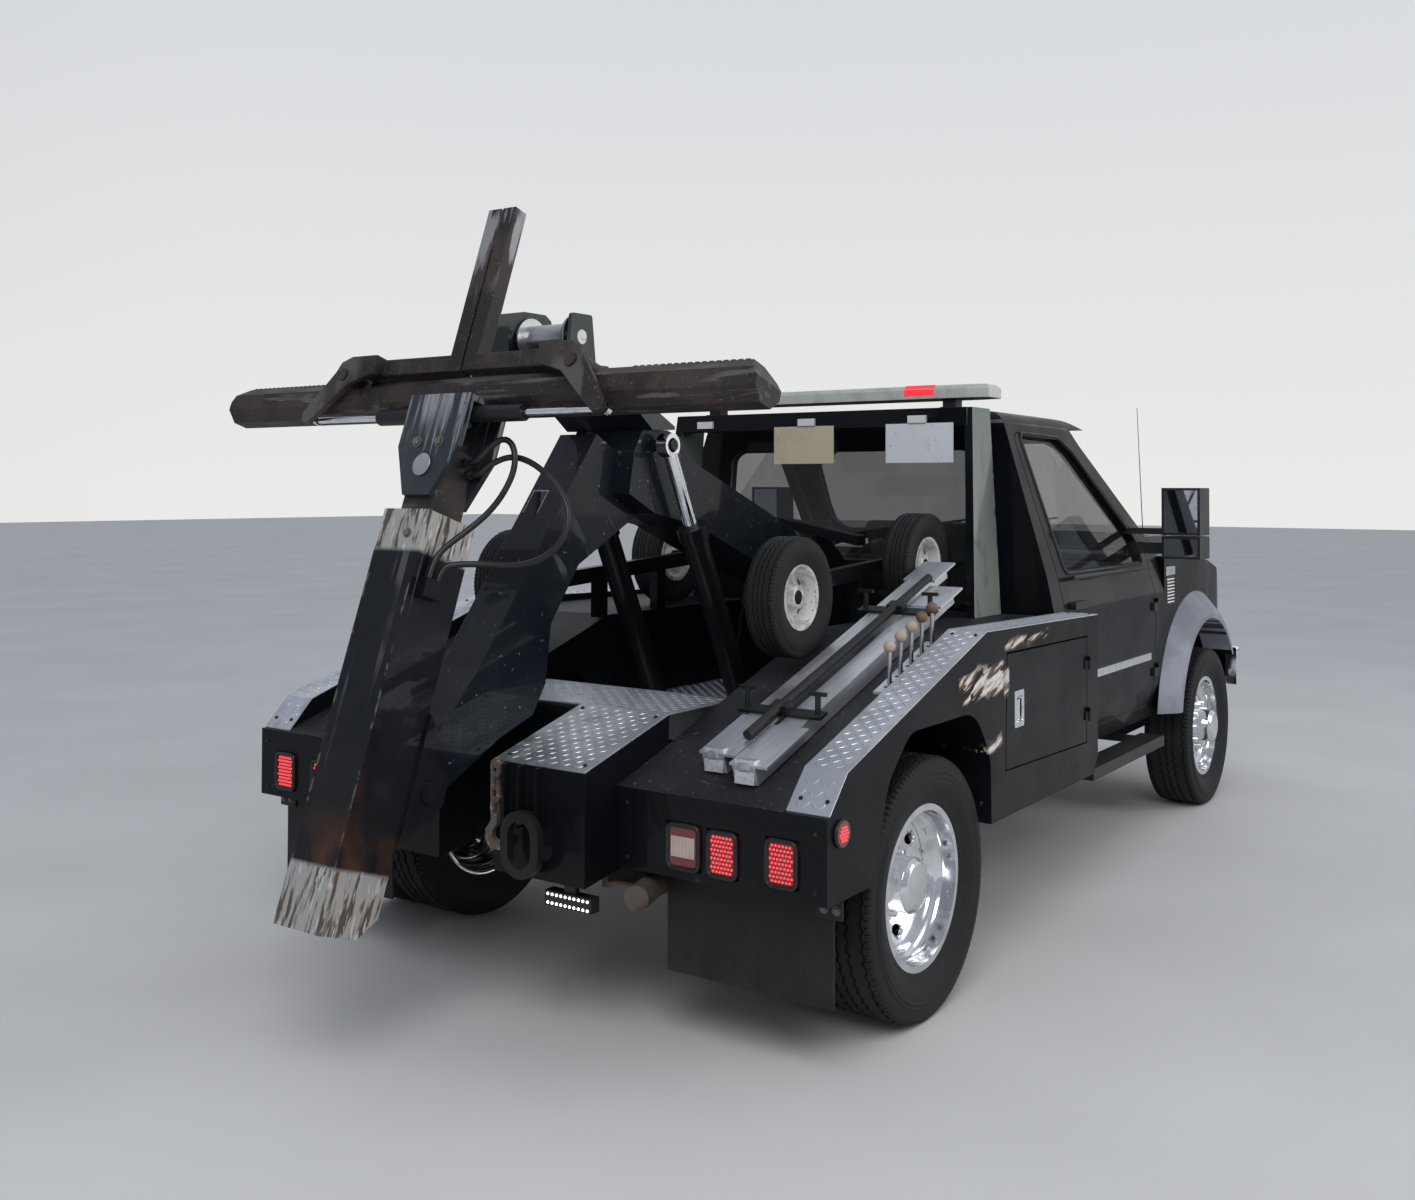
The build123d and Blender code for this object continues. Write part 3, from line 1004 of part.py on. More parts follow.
for side, name in ((1, "left"), (-1, "right")):
    with BuildPart() as door:
        add(outer_cab)
        add(inner_cab, mode=Mode.SUBTRACT)
        add(door_cutter(side, 0.0), mode=Mode.INTERSECT)
        y0, y1 = sorted((side * 600, side * 1100))
        side_prism([(1750, 1310), (1700, 1895), (2140, 1888), (2270, 1825), (2765, 1415), (2785, 1310)], y0,
                   y1, 30,
                   mode=Mode.SUBTRACT)
        for z in DOOR_HINGE_Z:
            block(hx - 60, hx, *span(side, CAB_HALF_WIDTH + 1, hy + 5), z, z + 40)
            block(hx - 60, hx - 38, *span(side, CAB_HALF_WIDTH - 4, hy + 5), z, z + 40)
            with Locations((hx, side * hy, z + 20)):
                Cylinder(7, 40)
                Cylinder(4 + PIN_CLEARANCE, 50, mode=Mode.SUBTRACT)
        y0, y1 = span(side, CAB_HALF_WIDTH - 6, CAB_HALF_WIDTH + 8)
        side_prism([(1740, 832), (2800, 832), (2800, 866), (1740, 866)], y0, y1)
        y0, y1 = span(side, CAB_HALF_WIDTH - 20, CAB_HALF_WIDTH + 22)
        side_prism([(1720, 1150), (1880, 1150), (1880, 1182), (1720, 1182)], y0, y1, 10)
        for x0, x1, low, high in MIRROR_ARMS:
            block(x0, x1, *span(side, mirror_root(high), MIRROR_Y + 1), low, high)
        for low, high in MIRROR_GLASSES:
            y0, y1 = span(side, MIRROR_Y, MIRROR_Y + MIRROR_WIDTH)
            block(MIRROR_X - 40, MIRROR_X + 125, y0, y1, low, high)
        for low, high in MIRROR_GLASSES:
            y0, y1 = span(side, MIRROR_Y + 12, MIRROR_Y + MIRROR_WIDTH - 12)
            block(MIRROR_X - 41, MIRROR_X - 36, y0, y1, low + 12, high - 12, mode=Mode.SUBTRACT)
    keep(f"cab_door_{name}", door.part)

# Glass: a thin layer of the cab's form inside each window opening
with BuildPart() as panes:
    front_prism(moved_outline(REAR_WINDOW, -SEAT), CAB_BACK_X - 40, CAB_BACK_X + 120, 60)
    front_prism(moved_outline(SCREEN, -SEAT), 2560, COWL_X + 40, 50)
with BuildPart() as glass:
    add(cab_form(16.0))
    add(cab_form(22.0), mode=Mode.SUBTRACT)
    add(panes.part, mode=Mode.INTERSECT)
keep("cab_glass", glass.part)

# Hood, hinged at its rear edge, and the fenders with their wide flares
HOOD_HALF = 700.0
HOOD_REAR_X = COWL_X + 12
HOOD_NOSE_X = WHEELBASE + 840
HOOD_PIN = (COWL_X + 140, 1300.0)
with BuildPart() as hood:
    side_prism([(HOOD_REAR_X, 1388), (3900, 1345), (HOOD_NOSE_X - 60, 1250), (HOOD_NOSE_X, 1180),
                (HOOD_NOSE_X - 26, 1180), (HOOD_NOSE_X - 76, 1232), (3890, 1321), (HOOD_REAR_X, 1364)],
               -HOOD_HALF, HOOD_HALF)
    for side in (-1, 1):
        y0, y1 = sorted((side * (HOOD_HALF - 40), side * (HOOD_HALF - 20)))
        side_prism([(HOOD_PIN[0] - 40, 1375), (HOOD_PIN[0] - 14, HOOD_PIN[1] - 14),
                    (HOOD_PIN[0] + 14, HOOD_PIN[1] - 14),
                    (HOOD_PIN[0] + 40, 1370)], y0, y1)
        cross_rod(*HOOD_PIN, 8 + PIN_CLEARANCE, y0 - 5, y1 + 5, mode=Mode.SUBTRACT)
keep("hood", hood.part)

ARCH_RADIUS = 530.0
FLARE_Y = 1085.0
# The fender's outer form, or its inside where by is the wall: it narrows and falls towards the nose
def fender_form(side, by):
    skin = [(DASH_X + SEAT + by, 560 - 1.5 * by), (DASH_X + SEAT + by, 1326 - by), (COWL_X + 2, 1326 - by),
            (3850, 1275 - by), (4240 - by / 2, 1190 - by), (4400 - by, 1080 - by / 2),
            (4400 - by, 560 - 1.5 * by)]
    edge = [(3760, 1020), (3800, 1000 - by), (4080, 985 - by), (4410, 905 - by), (4410, 1020)]
    with BuildPart() as form:
        side_prism(skin, *span(side, HOOD_HALF + GAP + by, CAB_HALF_WIDTH - by))
        plan_prism([(x, side * y) for x, y in edge], 500, 1400, mode=Mode.SUBTRACT)
    return form.part


with BuildPart() as fenders:
    for side in (-1, 1):
        add(fender_form(side, 0.0))
        add(fender_form(side, 14.0), mode=Mode.SUBTRACT)
        a, b = sorted((side * 480, side * (CAB_HALF_WIDTH + 20)))
        cross_rod(WHEELBASE, TYRE_RADIUS + 40, ARCH_RADIUS, a, b, mode=Mode.SUBTRACT)
        turned(WHEELBASE, TYRE_RADIUS + 40,
               [(side * y, ARCH_RADIUS + out, corner) for y, out, corner in
                ((930, 0, 0), (FLARE_Y, 0, 0), (FLARE_Y, 24, 0), (FLARE_Y - 16, 62, 30),
                 (CAB_HALF_WIDTH, 140, 0), (930, 140, 0))])
        block(WHEELBASE - 800, WHEELBASE, *span(side, 900, FLARE_Y + 10), -300, 550, mode=Mode.SUBTRACT)
        block(WHEELBASE, WHEELBASE + 800, *span(side, 900, FLARE_Y + 10), -300, 745, mode=Mode.SUBTRACT)
        a, b = sorted((side * (HOOD_HALF - 45), side * (HOOD_HALF + 12)))
        cross_rod(*HOOD_PIN, 8, a, b)
        a, b = sorted((side * 700, side * (CAB_HALF_WIDTH + SEAT)))
        block(DASH_X - 400, DASH_X + SEAT, a, b, 300, 1400, mode=Mode.SUBTRACT)
keep("front_fenders", fenders.part)

with BuildPart() as bumper:
    plan_prism([(4480, -1010), (NOSE_X, -900), (NOSE_X, 900), (4480, 1010), (4430, 1010), (4460, 860),
                (4460, -860),
                (4430, -1010)], 520, 740)
    for side in (-1, 1):
        y0, y1 = sorted((side * (RAIL_OUT - RAIL_FLANGE), side * RAIL_OUT))
        block(RAIL_FRONT_X, 4470, y0, y1, 590, 720)
keep("front_bumper", bumper.part)

with BuildPart() as grille:
    block(4402, 4440, -560, 560, 760, 1150)
    for row in range(3):
        block(4380, 4450, -530, 530, 800 + 120 * row, 870 + 120 * row, mode=Mode.SUBTRACT)
    for side in (-1, 1):
        y0, y1 = sorted((side * (RAIL_OUT - 60), side * (RAIL_OUT - 20)))
        block(RAIL_FRONT_X - 40, 4402, y0, y1, RAIL_TOP, 800)
        y0, y1 = sorted((side * 566, side * 860))
        block(4400 + SEAT, 4430, y0, y1, 820, 1110)
keep("grille", grille.part)

with BuildPart() as seats:
    for y in (-560, -130, 400):
        width = 240 if y != -130 else 150
        block(1900, 2400, y - width, y + width, 900, 1040)
        side_prism([(1900, 1000), (1780, 1560), (1690, 1560), (1780, 1000)], y - width, y + width)
    block(1850, 2300, -700, 640, CAB_TUNNEL_Z + CAB_WALL + SEAT, 900)
keep("seats", seats.part)

with BuildPart() as dash:
    side_prism([(2992, 960), (2992, 1270), (2800, 1270), (2740, 1180), (2800, 960)], -880, 880)
    with BuildSketch(Plane(origin=(2790, 390, 1130), z_dir=(-cos(radians(30)), 0, sin(radians(30))))):
        Circle(24)
    extrude(amount=170)
    with BuildSketch(Plane(origin=(2643, 390, 1215), z_dir=(-cos(radians(30)), 0, sin(radians(30))))):
        Circle(195)
        Circle(168, mode=Mode.SUBTRACT)
        Rectangle(340, 30)
    extrude(amount=24)
keep("dashboard", dash.part)

with BuildPart() as boards:
    for side in (-1, 1):
        y0, y1 = sorted((side * 960, side * 1075))
        block(1780, 2780, y0, y1, 425, 475)
        y0, y1 = sorted((side * RAIL_OUT, side * 1000))
        for x in (1850, 2700):
            block(x - 25, x + 25, y0, y1, 440, 470)
            a, b = sorted((side * RAIL_OUT, side * (RAIL_OUT + 12)))
            block(x - 25, x + 25, a, b, 440, 640)
keep("running_boards", boards.part)

with BuildPart() as levers:
    side_prism([(3, slope_z(3) + SEAT), (387, slope_z(387) + SEAT), (387, slope_z(387) + 8),
                (3, slope_z(3) + 8)],
               -1050, -970)
    for i in range(5):
        x = 40 + 78 * i
        with Locations((x, -1010, slope_z(x) + 70)):
            Cylinder(7, 130)
        with Locations((x, -1010, slope_z(x) + 140)):
            Sphere(20)
keep("control_levers", levers.part)

for name, part in PARTS.items():
    placed = part.moved(Location((-ORIGIN_X, 0, 0)))
    placed.label = name
    export_step(placed, f"parts/{name}.step")
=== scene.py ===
import math

import bmesh
import bpy
import numpy as np
from mathutils import Matrix, Vector
from mathutils.bvhtree import BVHTree


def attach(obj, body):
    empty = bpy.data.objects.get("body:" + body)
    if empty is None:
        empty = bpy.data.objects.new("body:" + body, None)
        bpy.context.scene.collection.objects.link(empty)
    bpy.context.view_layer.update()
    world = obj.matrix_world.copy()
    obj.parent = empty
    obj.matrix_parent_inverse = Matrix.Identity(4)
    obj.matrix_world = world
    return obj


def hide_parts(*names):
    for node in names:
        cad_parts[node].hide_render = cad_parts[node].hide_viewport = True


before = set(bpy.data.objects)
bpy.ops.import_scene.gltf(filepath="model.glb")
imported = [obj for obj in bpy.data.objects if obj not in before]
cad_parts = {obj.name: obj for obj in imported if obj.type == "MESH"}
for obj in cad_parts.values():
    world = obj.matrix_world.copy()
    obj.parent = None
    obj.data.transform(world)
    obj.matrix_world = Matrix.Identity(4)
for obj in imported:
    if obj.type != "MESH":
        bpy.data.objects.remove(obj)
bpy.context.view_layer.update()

# The truck's drawing is in millimetres from the rear axle's line on the ground, and place() brings it
# into the frame. AXLE_X is that line's place in the frame, in metres.
MM = 0.001
AXLE_X = -1.524
LEAN = math.atan2(391.0, 1142.0)
FOOT = Vector((-1497.0, 0.0, 454.0))
UP_TUBE = Vector((math.sin(LEAN), 0.0, math.cos(LEAN)))
OUT_TUBE = Vector((-math.cos(LEAN), 0.0, math.sin(LEAN)))
SLOPE_RISE = 0.33
SLOPE_FOOT_Z = 766.0
SLOPE_TOP_Z = 1142.0
BODY_REAR_X = -700.0
FRONT_AXLE_X = 3580.0
WHEEL_Z = 410.0
HEADLIGHT_X = 4430.0
LAMP_FACE_X = -705.0
MIRROR_X = 2755.0
HEAD_PIN_S = 1351.0
SIDES = ((1, "left"), (-1, "right"))


def place(x, y, z):
    """A point of the drawing as a point of the frame, in metres."""
    return Vector((x * MM + AXLE_X, y * MM, z * MM))


def on_tube(y, d, s):
    """A point of the folded lift tube's own drawing: y across, d out of its rear face, s up along it."""
    x, _, z = FOOT + OUT_TUBE * d + UP_TUBE * s
    return Vector((x, y, z))


def slope_z(x):
    """Height of the side box's sloping top."""
    return min(SLOPE_FOOT_Z + SLOPE_RISE * (x - BODY_REAR_X), SLOPE_TOP_Z)


def aim_camera():
    """The camera stands low behind the truck's right rear corner."""
    data = bpy.data.cameras.new("camera")
    data.lens = 34.78
    data.sensor_width = 36.0
    data.shift_y = -0.10
    camera = bpy.data.objects.new("camera", data)
    bpy.context.scene.collection.objects.link(camera)
    camera.location = (AXLE_X - 3.929, -3.064, 1.656)
    camera.rotation_euler = (math.radians(90 + 1.29), math.radians(-0.19), math.radians(34.95 - 90))
    bpy.context.scene.camera = camera


# Finishes


class Finish:
    """A shader and the masks that colour, dull and dent it, all on the piece's Object coordinates."""

    def __init__(self, name, colour, roughness, metallic=0.0, **sockets):
        self.material = bpy.data.materials.new(name)
        self.material.use_nodes = True
        self.tree = self.material.node_tree
        self.shader = self.tree.nodes["Principled BSDF"]
        self.levels = {"Base Color": colour, "Roughness": roughness, "Metallic": metallic}
        for socket, value in sockets.items():
            self.shader.inputs[socket.replace("_", " ")].default_value = value
        spot = self.tree.nodes.new("ShaderNodeTexCoord")
        self.where, self.facing = spot.outputs["Object"], spot.outputs["Normal"]
        self.bumped = None

    def put(self, kind, inputs, **settings):
        """A node with its inputs given by name or number."""
        node = self.tree.nodes.new("ShaderNode" + kind)
        for key, value in settings.items():
            setattr(node, key, value)
        for key, value in inputs.items():
            if isinstance(value, bpy.types.NodeSocket):
                self.tree.links.new(value, node.inputs[key])
            else:
                node.inputs[key].default_value = value
        return node

    def calc(self, a, b, operation="MULTIPLY"):
        """A sum on two sockets or numbers; masks are multiplied."""
        return self.put("Math", {0: a, 1: b}, operation=operation).outputs[0]

    def along(self, direction, start=(0, 0, 0)):
        """Distance in metres along a direction, counted from a point of the drawing."""
        line = Vector(direction).normalized()
        dot = self.put("VectorMath", {0: self.where, 1: tuple(line)},
                       operation="DOT_PRODUCT").outputs["Value"]
        offset = line.dot(place(*start))
        return self.calc(dot, -offset, "ADD")

    def band(self, value, low, high):
        """0 below low and 1 above high, or the other way round where high is the lower."""
        top = {1: low, 2: high, 3: 0.0, 4: 1.0} if low < high else {1: high, 2: low, 3: 1.0, 4: 0.0}
        return self.put("MapRange", {0: value, **top}, interpolation_type="SMOOTHSTEP").outputs[0]

    def noise(self, scale, detail=4.0, stretch=(1, 1, 1), turn=0.0, shift=0.0, distortion=0.0):
        """Cloudy values, turned about the Y axis and drawn out along an axis by a stretch under 1."""
        spread = self.put("Mapping", {"Vector": self.where, "Scale": tuple(1.0 / s for s in stretch),
                                      "Rotation": (0, turn, 0),
                                      "Location": (shift, shift, shift)}, vector_type="TEXTURE")
        return self.put("TexNoise", {"Vector": spread.outputs[0], "Scale": scale, "Detail": detail,
                                     "Distortion": distortion}).outputs[0]

    def cells(self, scale, feature="F1"):
        """Round grains of one size."""
        return self.put("TexVoronoi", {"Vector": self.where, "Scale": scale}, feature=feature).outputs[0]

    def facing_up(self, low, high):
        """Where the surface looks up: 0 below one slope and 1 above the other."""
        return self.band(self.put("SeparateXYZ", {0: self.facing}).outputs[2], low, high)

    def patch(self, low, high, soft, ragged, grain):
        """A block of the drawing as a mask with ragged edges."""
        mask = None
        wander = self.calc(self.calc(self.noise(grain), 0.5, "SUBTRACT"), ragged * MM)
        for axis, (a, b) in enumerate(zip(low, high)):
            if a is None:
                continue
            line = [0, 0, 0]
            line[axis] = 1
            value = self.calc(self.along(line), wander, "ADD")
            for side in (self.band(value, (a - soft) * MM, (a + soft) * MM),
                         self.band(value, (b + soft) * MM, (b - soft) * MM)):
                mask = side if mask is None else self.calc(mask, side)
        return mask

    def coat(self, mask, colour=None, roughness=None, metallic=None):
        """Lays another colour, roughness or metal over the masked places."""
        for name, value in (("Base Color", colour), ("Roughness", roughness), ("Metallic", metallic)):
            if value is None:
                continue
            kind, slots = ("RGBA", (6, 7, 2)) if name == "Base Color" else ("FLOAT", (2, 3, 0))
            below = self.levels[name]
            if name == "Base Color":
                below = below if isinstance(below, bpy.types.NodeSocket) else (*below, 1)
                value = value if isinstance(value, bpy.types.NodeSocket) else (*value, 1)
            node = self.put("Mix", {0: mask, slots[0]: below, slots[1]: value}, data_type=kind)
            self.levels[name] = node.outputs[slots[2]]
        return self

    def dent(self, height, depth):
        """Raises the surface by the height's value times depth, in millimetres."""
        inputs = {"Height": height, "Distance": depth * MM, "Strength": 1.0}
        if self.bumped:
            inputs["Normal"] = self.bumped
        self.bumped = self.put("Bump", inputs).outputs[0]
        return self

    def done(self):
        """Joins the layers to the shader and gives the material."""
        for name, value in self.levels.items():
            if isinstance(value, bpy.types.NodeSocket):
                self.tree.links.new(value, self.shader.inputs[name])
            else:
                self.shader.inputs[name].default_value = (*value, 1) if name == "Base Color" else value
        if self.bumped:
            self.tree.links.new(self.bumped, self.shader.inputs["Normal"])
        return self.material


def dusty(finish, colour=(0.055, 0.053, 0.048), amount=0.4, scale=2.2):
    """Dust that settles on what faces up, in clouds."""
    cloud = finish.band(finish.noise(scale, 6.0), 0.35, 0.75)
    mask = finish.calc(finish.calc(finish.facing_up(0.35, 0.95), cloud), amount)
    return finish.coat(mask, colour, 0.75)


def road_dirt(finish, top=620.0, colour=(0.030, 0.028, 0.025), amount=0.5):
    """Dirt that thins out upwards from the road."""
    height = finish.along((0, 0, 1))
    low = finish.band(height, top * MM, (top - 450) * MM)
    mask = finish.calc(finish.calc(low, finish.band(finish.noise(5.0, 6.0), 0.3, 0.7)), amount)
    return finish.coat(mask, colour, 0.85)


def scratched(finish, colour=(0.20, 0.20, 0.21), amount=0.5, scale=22.0, cover=0.64,
              stretch=(1.0, 1.0, 0.05), turn=0.0):
    """Long fine scratches that run one way along the piece, in places."""
    streaks = finish.noise(scale, 3.0, stretch, turn)
    places = finish.band(finish.noise(2.6, 4.0), 0.50, 0.62)
    mask = finish.calc(finish.calc(finish.band(streaks, cover, cover + 0.04), places), amount)
    return finish.coat(mask, colour, 0.5)


def gloss_black(name="gloss_black", colour=(0.0042, 0.0050, 0.0068), dust=0.35):
    """Near-black gloss paint with a thin clear coat, orange peel, specks and a little dust."""
    f = Finish(name, colour, 0.38, Specular_IOR_Level=0.08, Coat_Weight=0.20, Coat_Roughness=0.03)
    f.coat(f.band(f.noise(3.5, 6.0), 0.42, 0.62), None, 0.50)
    f.coat(f.calc(f.band(f.noise(1.7, 5.0, shift=4.0), 0.48, 0.70), 0.7), (0.0080, 0.0090, 0.0108), 0.44)
    specks = f.band(f.noise(240.0, 2.0), 0.70, 0.74)
    f.coat(f.calc(specks, 0.35), (0.08, 0.08, 0.08), 0.6)
    dusty(f, amount=dust)
    road_dirt(f)
    f.dent(f.noise(7.0, 2.0), 0.35)
    return f


def side_paint():
    """Gloss paint of the side boxes, peeled to primer and bare metal beside and above the toolbox door."""
    f = gloss_black("side_paint", dust=0.3)
    flakes = f.noise(26.0, 7.0, (0.16, 1.0, 1.0), -0.32, distortion=0.3)
    fine = f.noise(60.0, 6.0, (0.16, 1.0, 1.0), -0.32, shift=3.0)
    for low, high in (((160, None, 975), (500, None, 1062)), ((380, None, 786), (478, None, 818)),
                      ((520, None, 1112), (930, None, 1136)), ((512, None, 940), (540, None, 1040))):
        zone = f.patch(low, high, 14.0, 60.0, 7.0)
        right = f.calc(f.along((0, 1, 0)), 0.0, "LESS_THAN")
        peeled = f.calc(f.calc(zone, right), f.band(flakes, 0.475, 0.495))
        f.coat(peeled, (0.150, 0.085, 0.052), 0.75)
        f.coat(f.calc(peeled, f.band(fine, 0.44, 0.47)), (0.62, 0.54, 0.46), 0.55)
        f.coat(f.calc(peeled, f.band(fine, 0.53, 0.56)), (0.84, 0.84, 0.82), 0.35, 0.3)
    scratched(f, (0.16, 0.16, 0.17), 0.45, 20.0, 0.66, (0.06, 1.0, 1.0), -0.30)
    return f.done()


def liner():
    """Sprayed black coating with a pebbled surface."""
    f = Finish("liner_coating", (0.0110, 0.0130, 0.0160), 0.50, Specular_IOR_Level=0.28)
    dusty(f, (0.060, 0.064, 0.072), 0.45, 3.0)
    worn = f.calc(f.band(f.noise(52.0, 6.0), 0.62, 0.70), 0.6)
    f.coat(worn, (0.13, 0.14, 0.155), 0.6)
    f.dent(f.cells(420.0, "SMOOTH_F1"), 1.6)
    f.dent(f.noise(60.0, 3.0), 0.8)
    return f.done()


def plate_metal(name="tread_metal", colour=(0.72, 0.74, 0.77), roughness=0.40, grime=0.30):
    """Bright aluminium plate, dull in the low places and scuffed along its length."""
    f = Finish(name, colour, roughness, 1.0)
    f.coat(f.band(f.noise(6.0, 6.0), 0.40, 0.68), (0.58, 0.60, 0.64), 0.50)
    grime_mask = f.calc(f.band(f.noise(18.0, 6.0), 0.52, 0.66), grime)
    f.coat(grime_mask, (0.11, 0.10, 0.09), 0.75, 0.2)
    f.dent(f.noise(90.0, 3.0), 0.25)
    return f.done()


def tube_metal():
    """Square aluminium tube with drawn lines, dark smears and scratches."""
    f = Finish("tube_metal", (0.82, 0.83, 0.86), 0.36, 0.9)
    lines = f.noise(90.0, 3.0, (0.05, 1.0, 1.0), -0.32)
    f.coat(f.band(lines, 0.45, 0.62), (0.70, 0.71, 0.74), 0.42)
    smear = f.calc(f.band(f.noise(7.0, 6.0, (0.5, 1.2, 1.2)), 0.55, 0.66), 0.55)
    f.coat(smear, (0.14, 0.13, 0.12), 0.7, 0.3)
    f.dent(lines, 0.12)
    return f.done()


def worn_steel(name="worn_steel", dark=(0.0230, 0.0185, 0.0180), brown=(0.048, 0.035, 0.030), turn=0.0,
               stretch=(1, 0.10, 1)):
    """Dark worn steel: brown bloom, a little rust and fine scrapes that run along the piece."""
    f = Finish(name, dark, 0.44, 0.25, Specular_IOR_Level=0.4)
    f.coat(f.band(f.noise(4.0, 8.0, distortion=0.6), 0.42, 0.62), brown, 0.58, 0.1)
    f.coat(f.calc(f.band(f.noise(30.0, 7.0), 0.55, 0.68), 0.45), (0.070, 0.040, 0.027), 0.8, 0.0)
    fine = f.band(f.noise(38.0, 6.0, stretch, turn, shift=5.0), 0.57, 0.64)
    places = f.band(f.noise(3.4, 5.0, shift=2.0), 0.47, 0.62)
    f.coat(f.calc(f.calc(fine, places), 0.8), (0.17, 0.155, 0.145), 0.42, 0.6)
    f.coat(f.calc(f.band(f.noise(120.0, 4.0), 0.66, 0.70), 0.7), (0.22, 0.19, 0.17), 0.5, 0.4)
    f.dent(f.noise(70.0, 5.0), 0.7)
    return f


def crossbar_steel():
    """The crossbar: worn steel, lighter beside its middle and along the top, partly rubbed metal and partly
    painted highlights.
    """
    f = worn_steel()
    # Beside the middle: rubbed metal and painted highlights.
    rub_and_highlight = f.band(f.noise(17.0, 7.0, (1.0, 0.12, 1.0), LEAN, shift=8.0), 0.50, 0.64)
    middle = f.calc(f.band(f.along((0, 1, 0)), -620 * MM, -470 * MM),
                    f.band(f.along((0, 1, 0)), 560 * MM, 380 * MM))
    f.coat(f.calc(f.calc(rub_and_highlight, middle), 0.75), (0.20, 0.19, 0.185), 0.45, 0.4)
    # The upward faces are lighter: worn steel and a painted highlight.
    top = f.calc(f.facing_up(0.35, 0.8), f.band(f.noise(24.0, 6.0, (1.0, 0.15, 1.0)), 0.50, 0.62))
    f.coat(f.calc(top, 0.6), (0.13, 0.105, 0.092), 0.5, 0.4)
    return f.done()


def claw_steel():
    """The claws: brown-black legs with pale scrapes near the tips, greyer plates."""
    f = worn_steel("claw_steel", (0.0200, 0.0175, 0.0175), (0.044, 0.034, 0.030), LEAN, (1.0, 1.0, 0.10))
    s = f.along(UP_TUBE, tuple(FOOT))
    tips = f.calc(f.band(s, 1.92, 2.12), f.band(f.noise(24.0, 6.0, (1.0, 1.0, 0.16), LEAN), 0.48, 0.56))
    f.coat(f.calc(tips, 0.85), (0.36, 0.36, 0.37), 0.45, 0.5)
    plates = f.band(f.calc(f.along((0, 1, 0)), 0.0, "ABSOLUTE"), 400 * MM, 450 * MM)
    worn = f.calc(plates, f.band(f.noise(17.0, 8.0, (1.0, 0.5, 0.3), LEAN), 0.43, 0.56))
    f.coat(f.calc(worn, 0.75), (0.14, 0.13, 0.12), 0.5, 0.4)
    return f.done()


def boom_paint():
    """Gloss navy-black boom paint, rubbed in places and dusty on top."""
    f = Finish("boom_paint", (0.0042, 0.0068, 0.0115), 0.36, Specular_IOR_Level=0.15, Coat_Weight=0.34,
               Coat_Roughness=0.04)
    f.coat(f.band(f.noise(4.0, 6.0), 0.45, 0.62), (0.0070, 0.0100, 0.0155), 0.44)
    scratched(f, (0.13, 0.14, 0.155), 0.5, 18.0, 0.64, (0.10, 1.0, 1.0), 0.9)
    chips = f.band(f.noise(64.0, 5.0), 0.68, 0.71)
    f.coat(f.calc(chips, 0.7), (0.20, 0.18, 0.165), 0.7, 0.3)
    dusty(f, amount=0.35)
    f.dent(f.noise(8.0, 3.0), 0.5)
    return f.done()


def lift_tube_paint():
    """The lift tube: gloss black with bare scraped metal at its mouth and foot, and rust by the foot."""
    f = Finish("lift_tube_paint", (0.0045, 0.0060, 0.0085), 0.36, Specular_IOR_Level=0.12, Coat_Weight=0.30,
               Coat_Roughness=0.04)
    f.coat(f.band(f.noise(4.0, 6.0), 0.45, 0.62), (0.0085, 0.0100, 0.0125), 0.46)
    scratched(f, (0.14, 0.14, 0.15), 0.5, 24.0, 0.62, (1.0, 1.0, 0.045), LEAN)
    s = f.along(UP_TUBE, tuple(FOOT))
    streaks = f.noise(34.0, 6.0, (1.0, 1.0, 0.14), LEAN)
    across = f.calc(f.along((0, 1, 0)), 0.0, "ABSOLUTE")
    edges = f.calc(f.band(across, 83 * MM, 91 * MM), f.band(across, 94.8 * MM, 93.5 * MM))
    f.coat(f.calc(f.calc(edges, f.band(f.noise(24.0, 5.0), 0.50, 0.60)), 0.8), (0.16, 0.13, 0.11), 0.6)
    rust_zone = f.calc(f.band(s, 0.38, 0.17), f.band(s, 0.02, 0.10))
    f.coat(f.calc(f.calc(rust_zone, f.band(f.noise(9.0, 6.0, (1.0, 1.0, 0.5)), 0.38, 0.60)), 0.8),
           (0.085, 0.036, 0.018), 0.8)
    for low, high in ((1.085, 1.215), (-0.01, 0.17)):
        zone = f.calc(f.band(s, low - 0.012, low + 0.006), f.band(s, high + 0.012, high - 0.006))
        f.coat(f.calc(zone, f.band(streaks, 0.34, 0.44)), (0.46, 0.445, 0.42), 0.45, 0.5)
        f.coat(f.calc(zone, f.band(f.noise(42.0, 6.0, (1.0, 1.0, 0.16), LEAN), 0.50, 0.58)),
               (0.11, 0.085, 0.065), 0.7, 0.2)
        f.coat(f.calc(f.calc(zone, f.band(f.noise(70.0, 5.0, (1.0, 1.0, 0.2), LEAN), 0.58, 0.64)), 0.8),
               (0.75, 0.74, 0.72), 0.4, 0.7)
    f.dent(f.noise(9.0, 3.0), 0.5)
    f.dent(streaks, 0.3)
    return f.done()


def head_paint():
    """Slate-blue head plates with pale scrapes that run down from the crossbar."""
    f = Finish("head_paint", (0.0150, 0.0205, 0.0280), 0.40, 0.1, Coat_Weight=0.25)
    f.coat(f.band(f.noise(5.0, 6.0), 0.42, 0.60), (0.0240, 0.0310, 0.0400), 0.5)
    s = f.along(UP_TUBE, tuple(FOOT))
    streak = f.noise(46.0, 6.0, (1.0, 1.0, 0.07), LEAN)
    fall = f.band(s, 1.40, 1.58)
    f.coat(f.calc(f.calc(f.band(streak, 0.47, 0.55), fall), 0.8), (0.30, 0.31, 0.32), 0.5, 0.4)
    f.coat(f.calc(f.calc(f.band(streak, 0.60, 0.64), f.band(s, 1.30, 1.45)), 0.6), (0.40, 0.40, 0.40), 0.5,
           0.4)
    f.coat(f.calc(f.band(f.noise(25.0, 5.0), 0.60, 0.68), 0.5), (0.060, 0.040, 0.030), 0.8)
    f.dent(f.noise(60.0, 3.0), 0.5)
    return f.done()


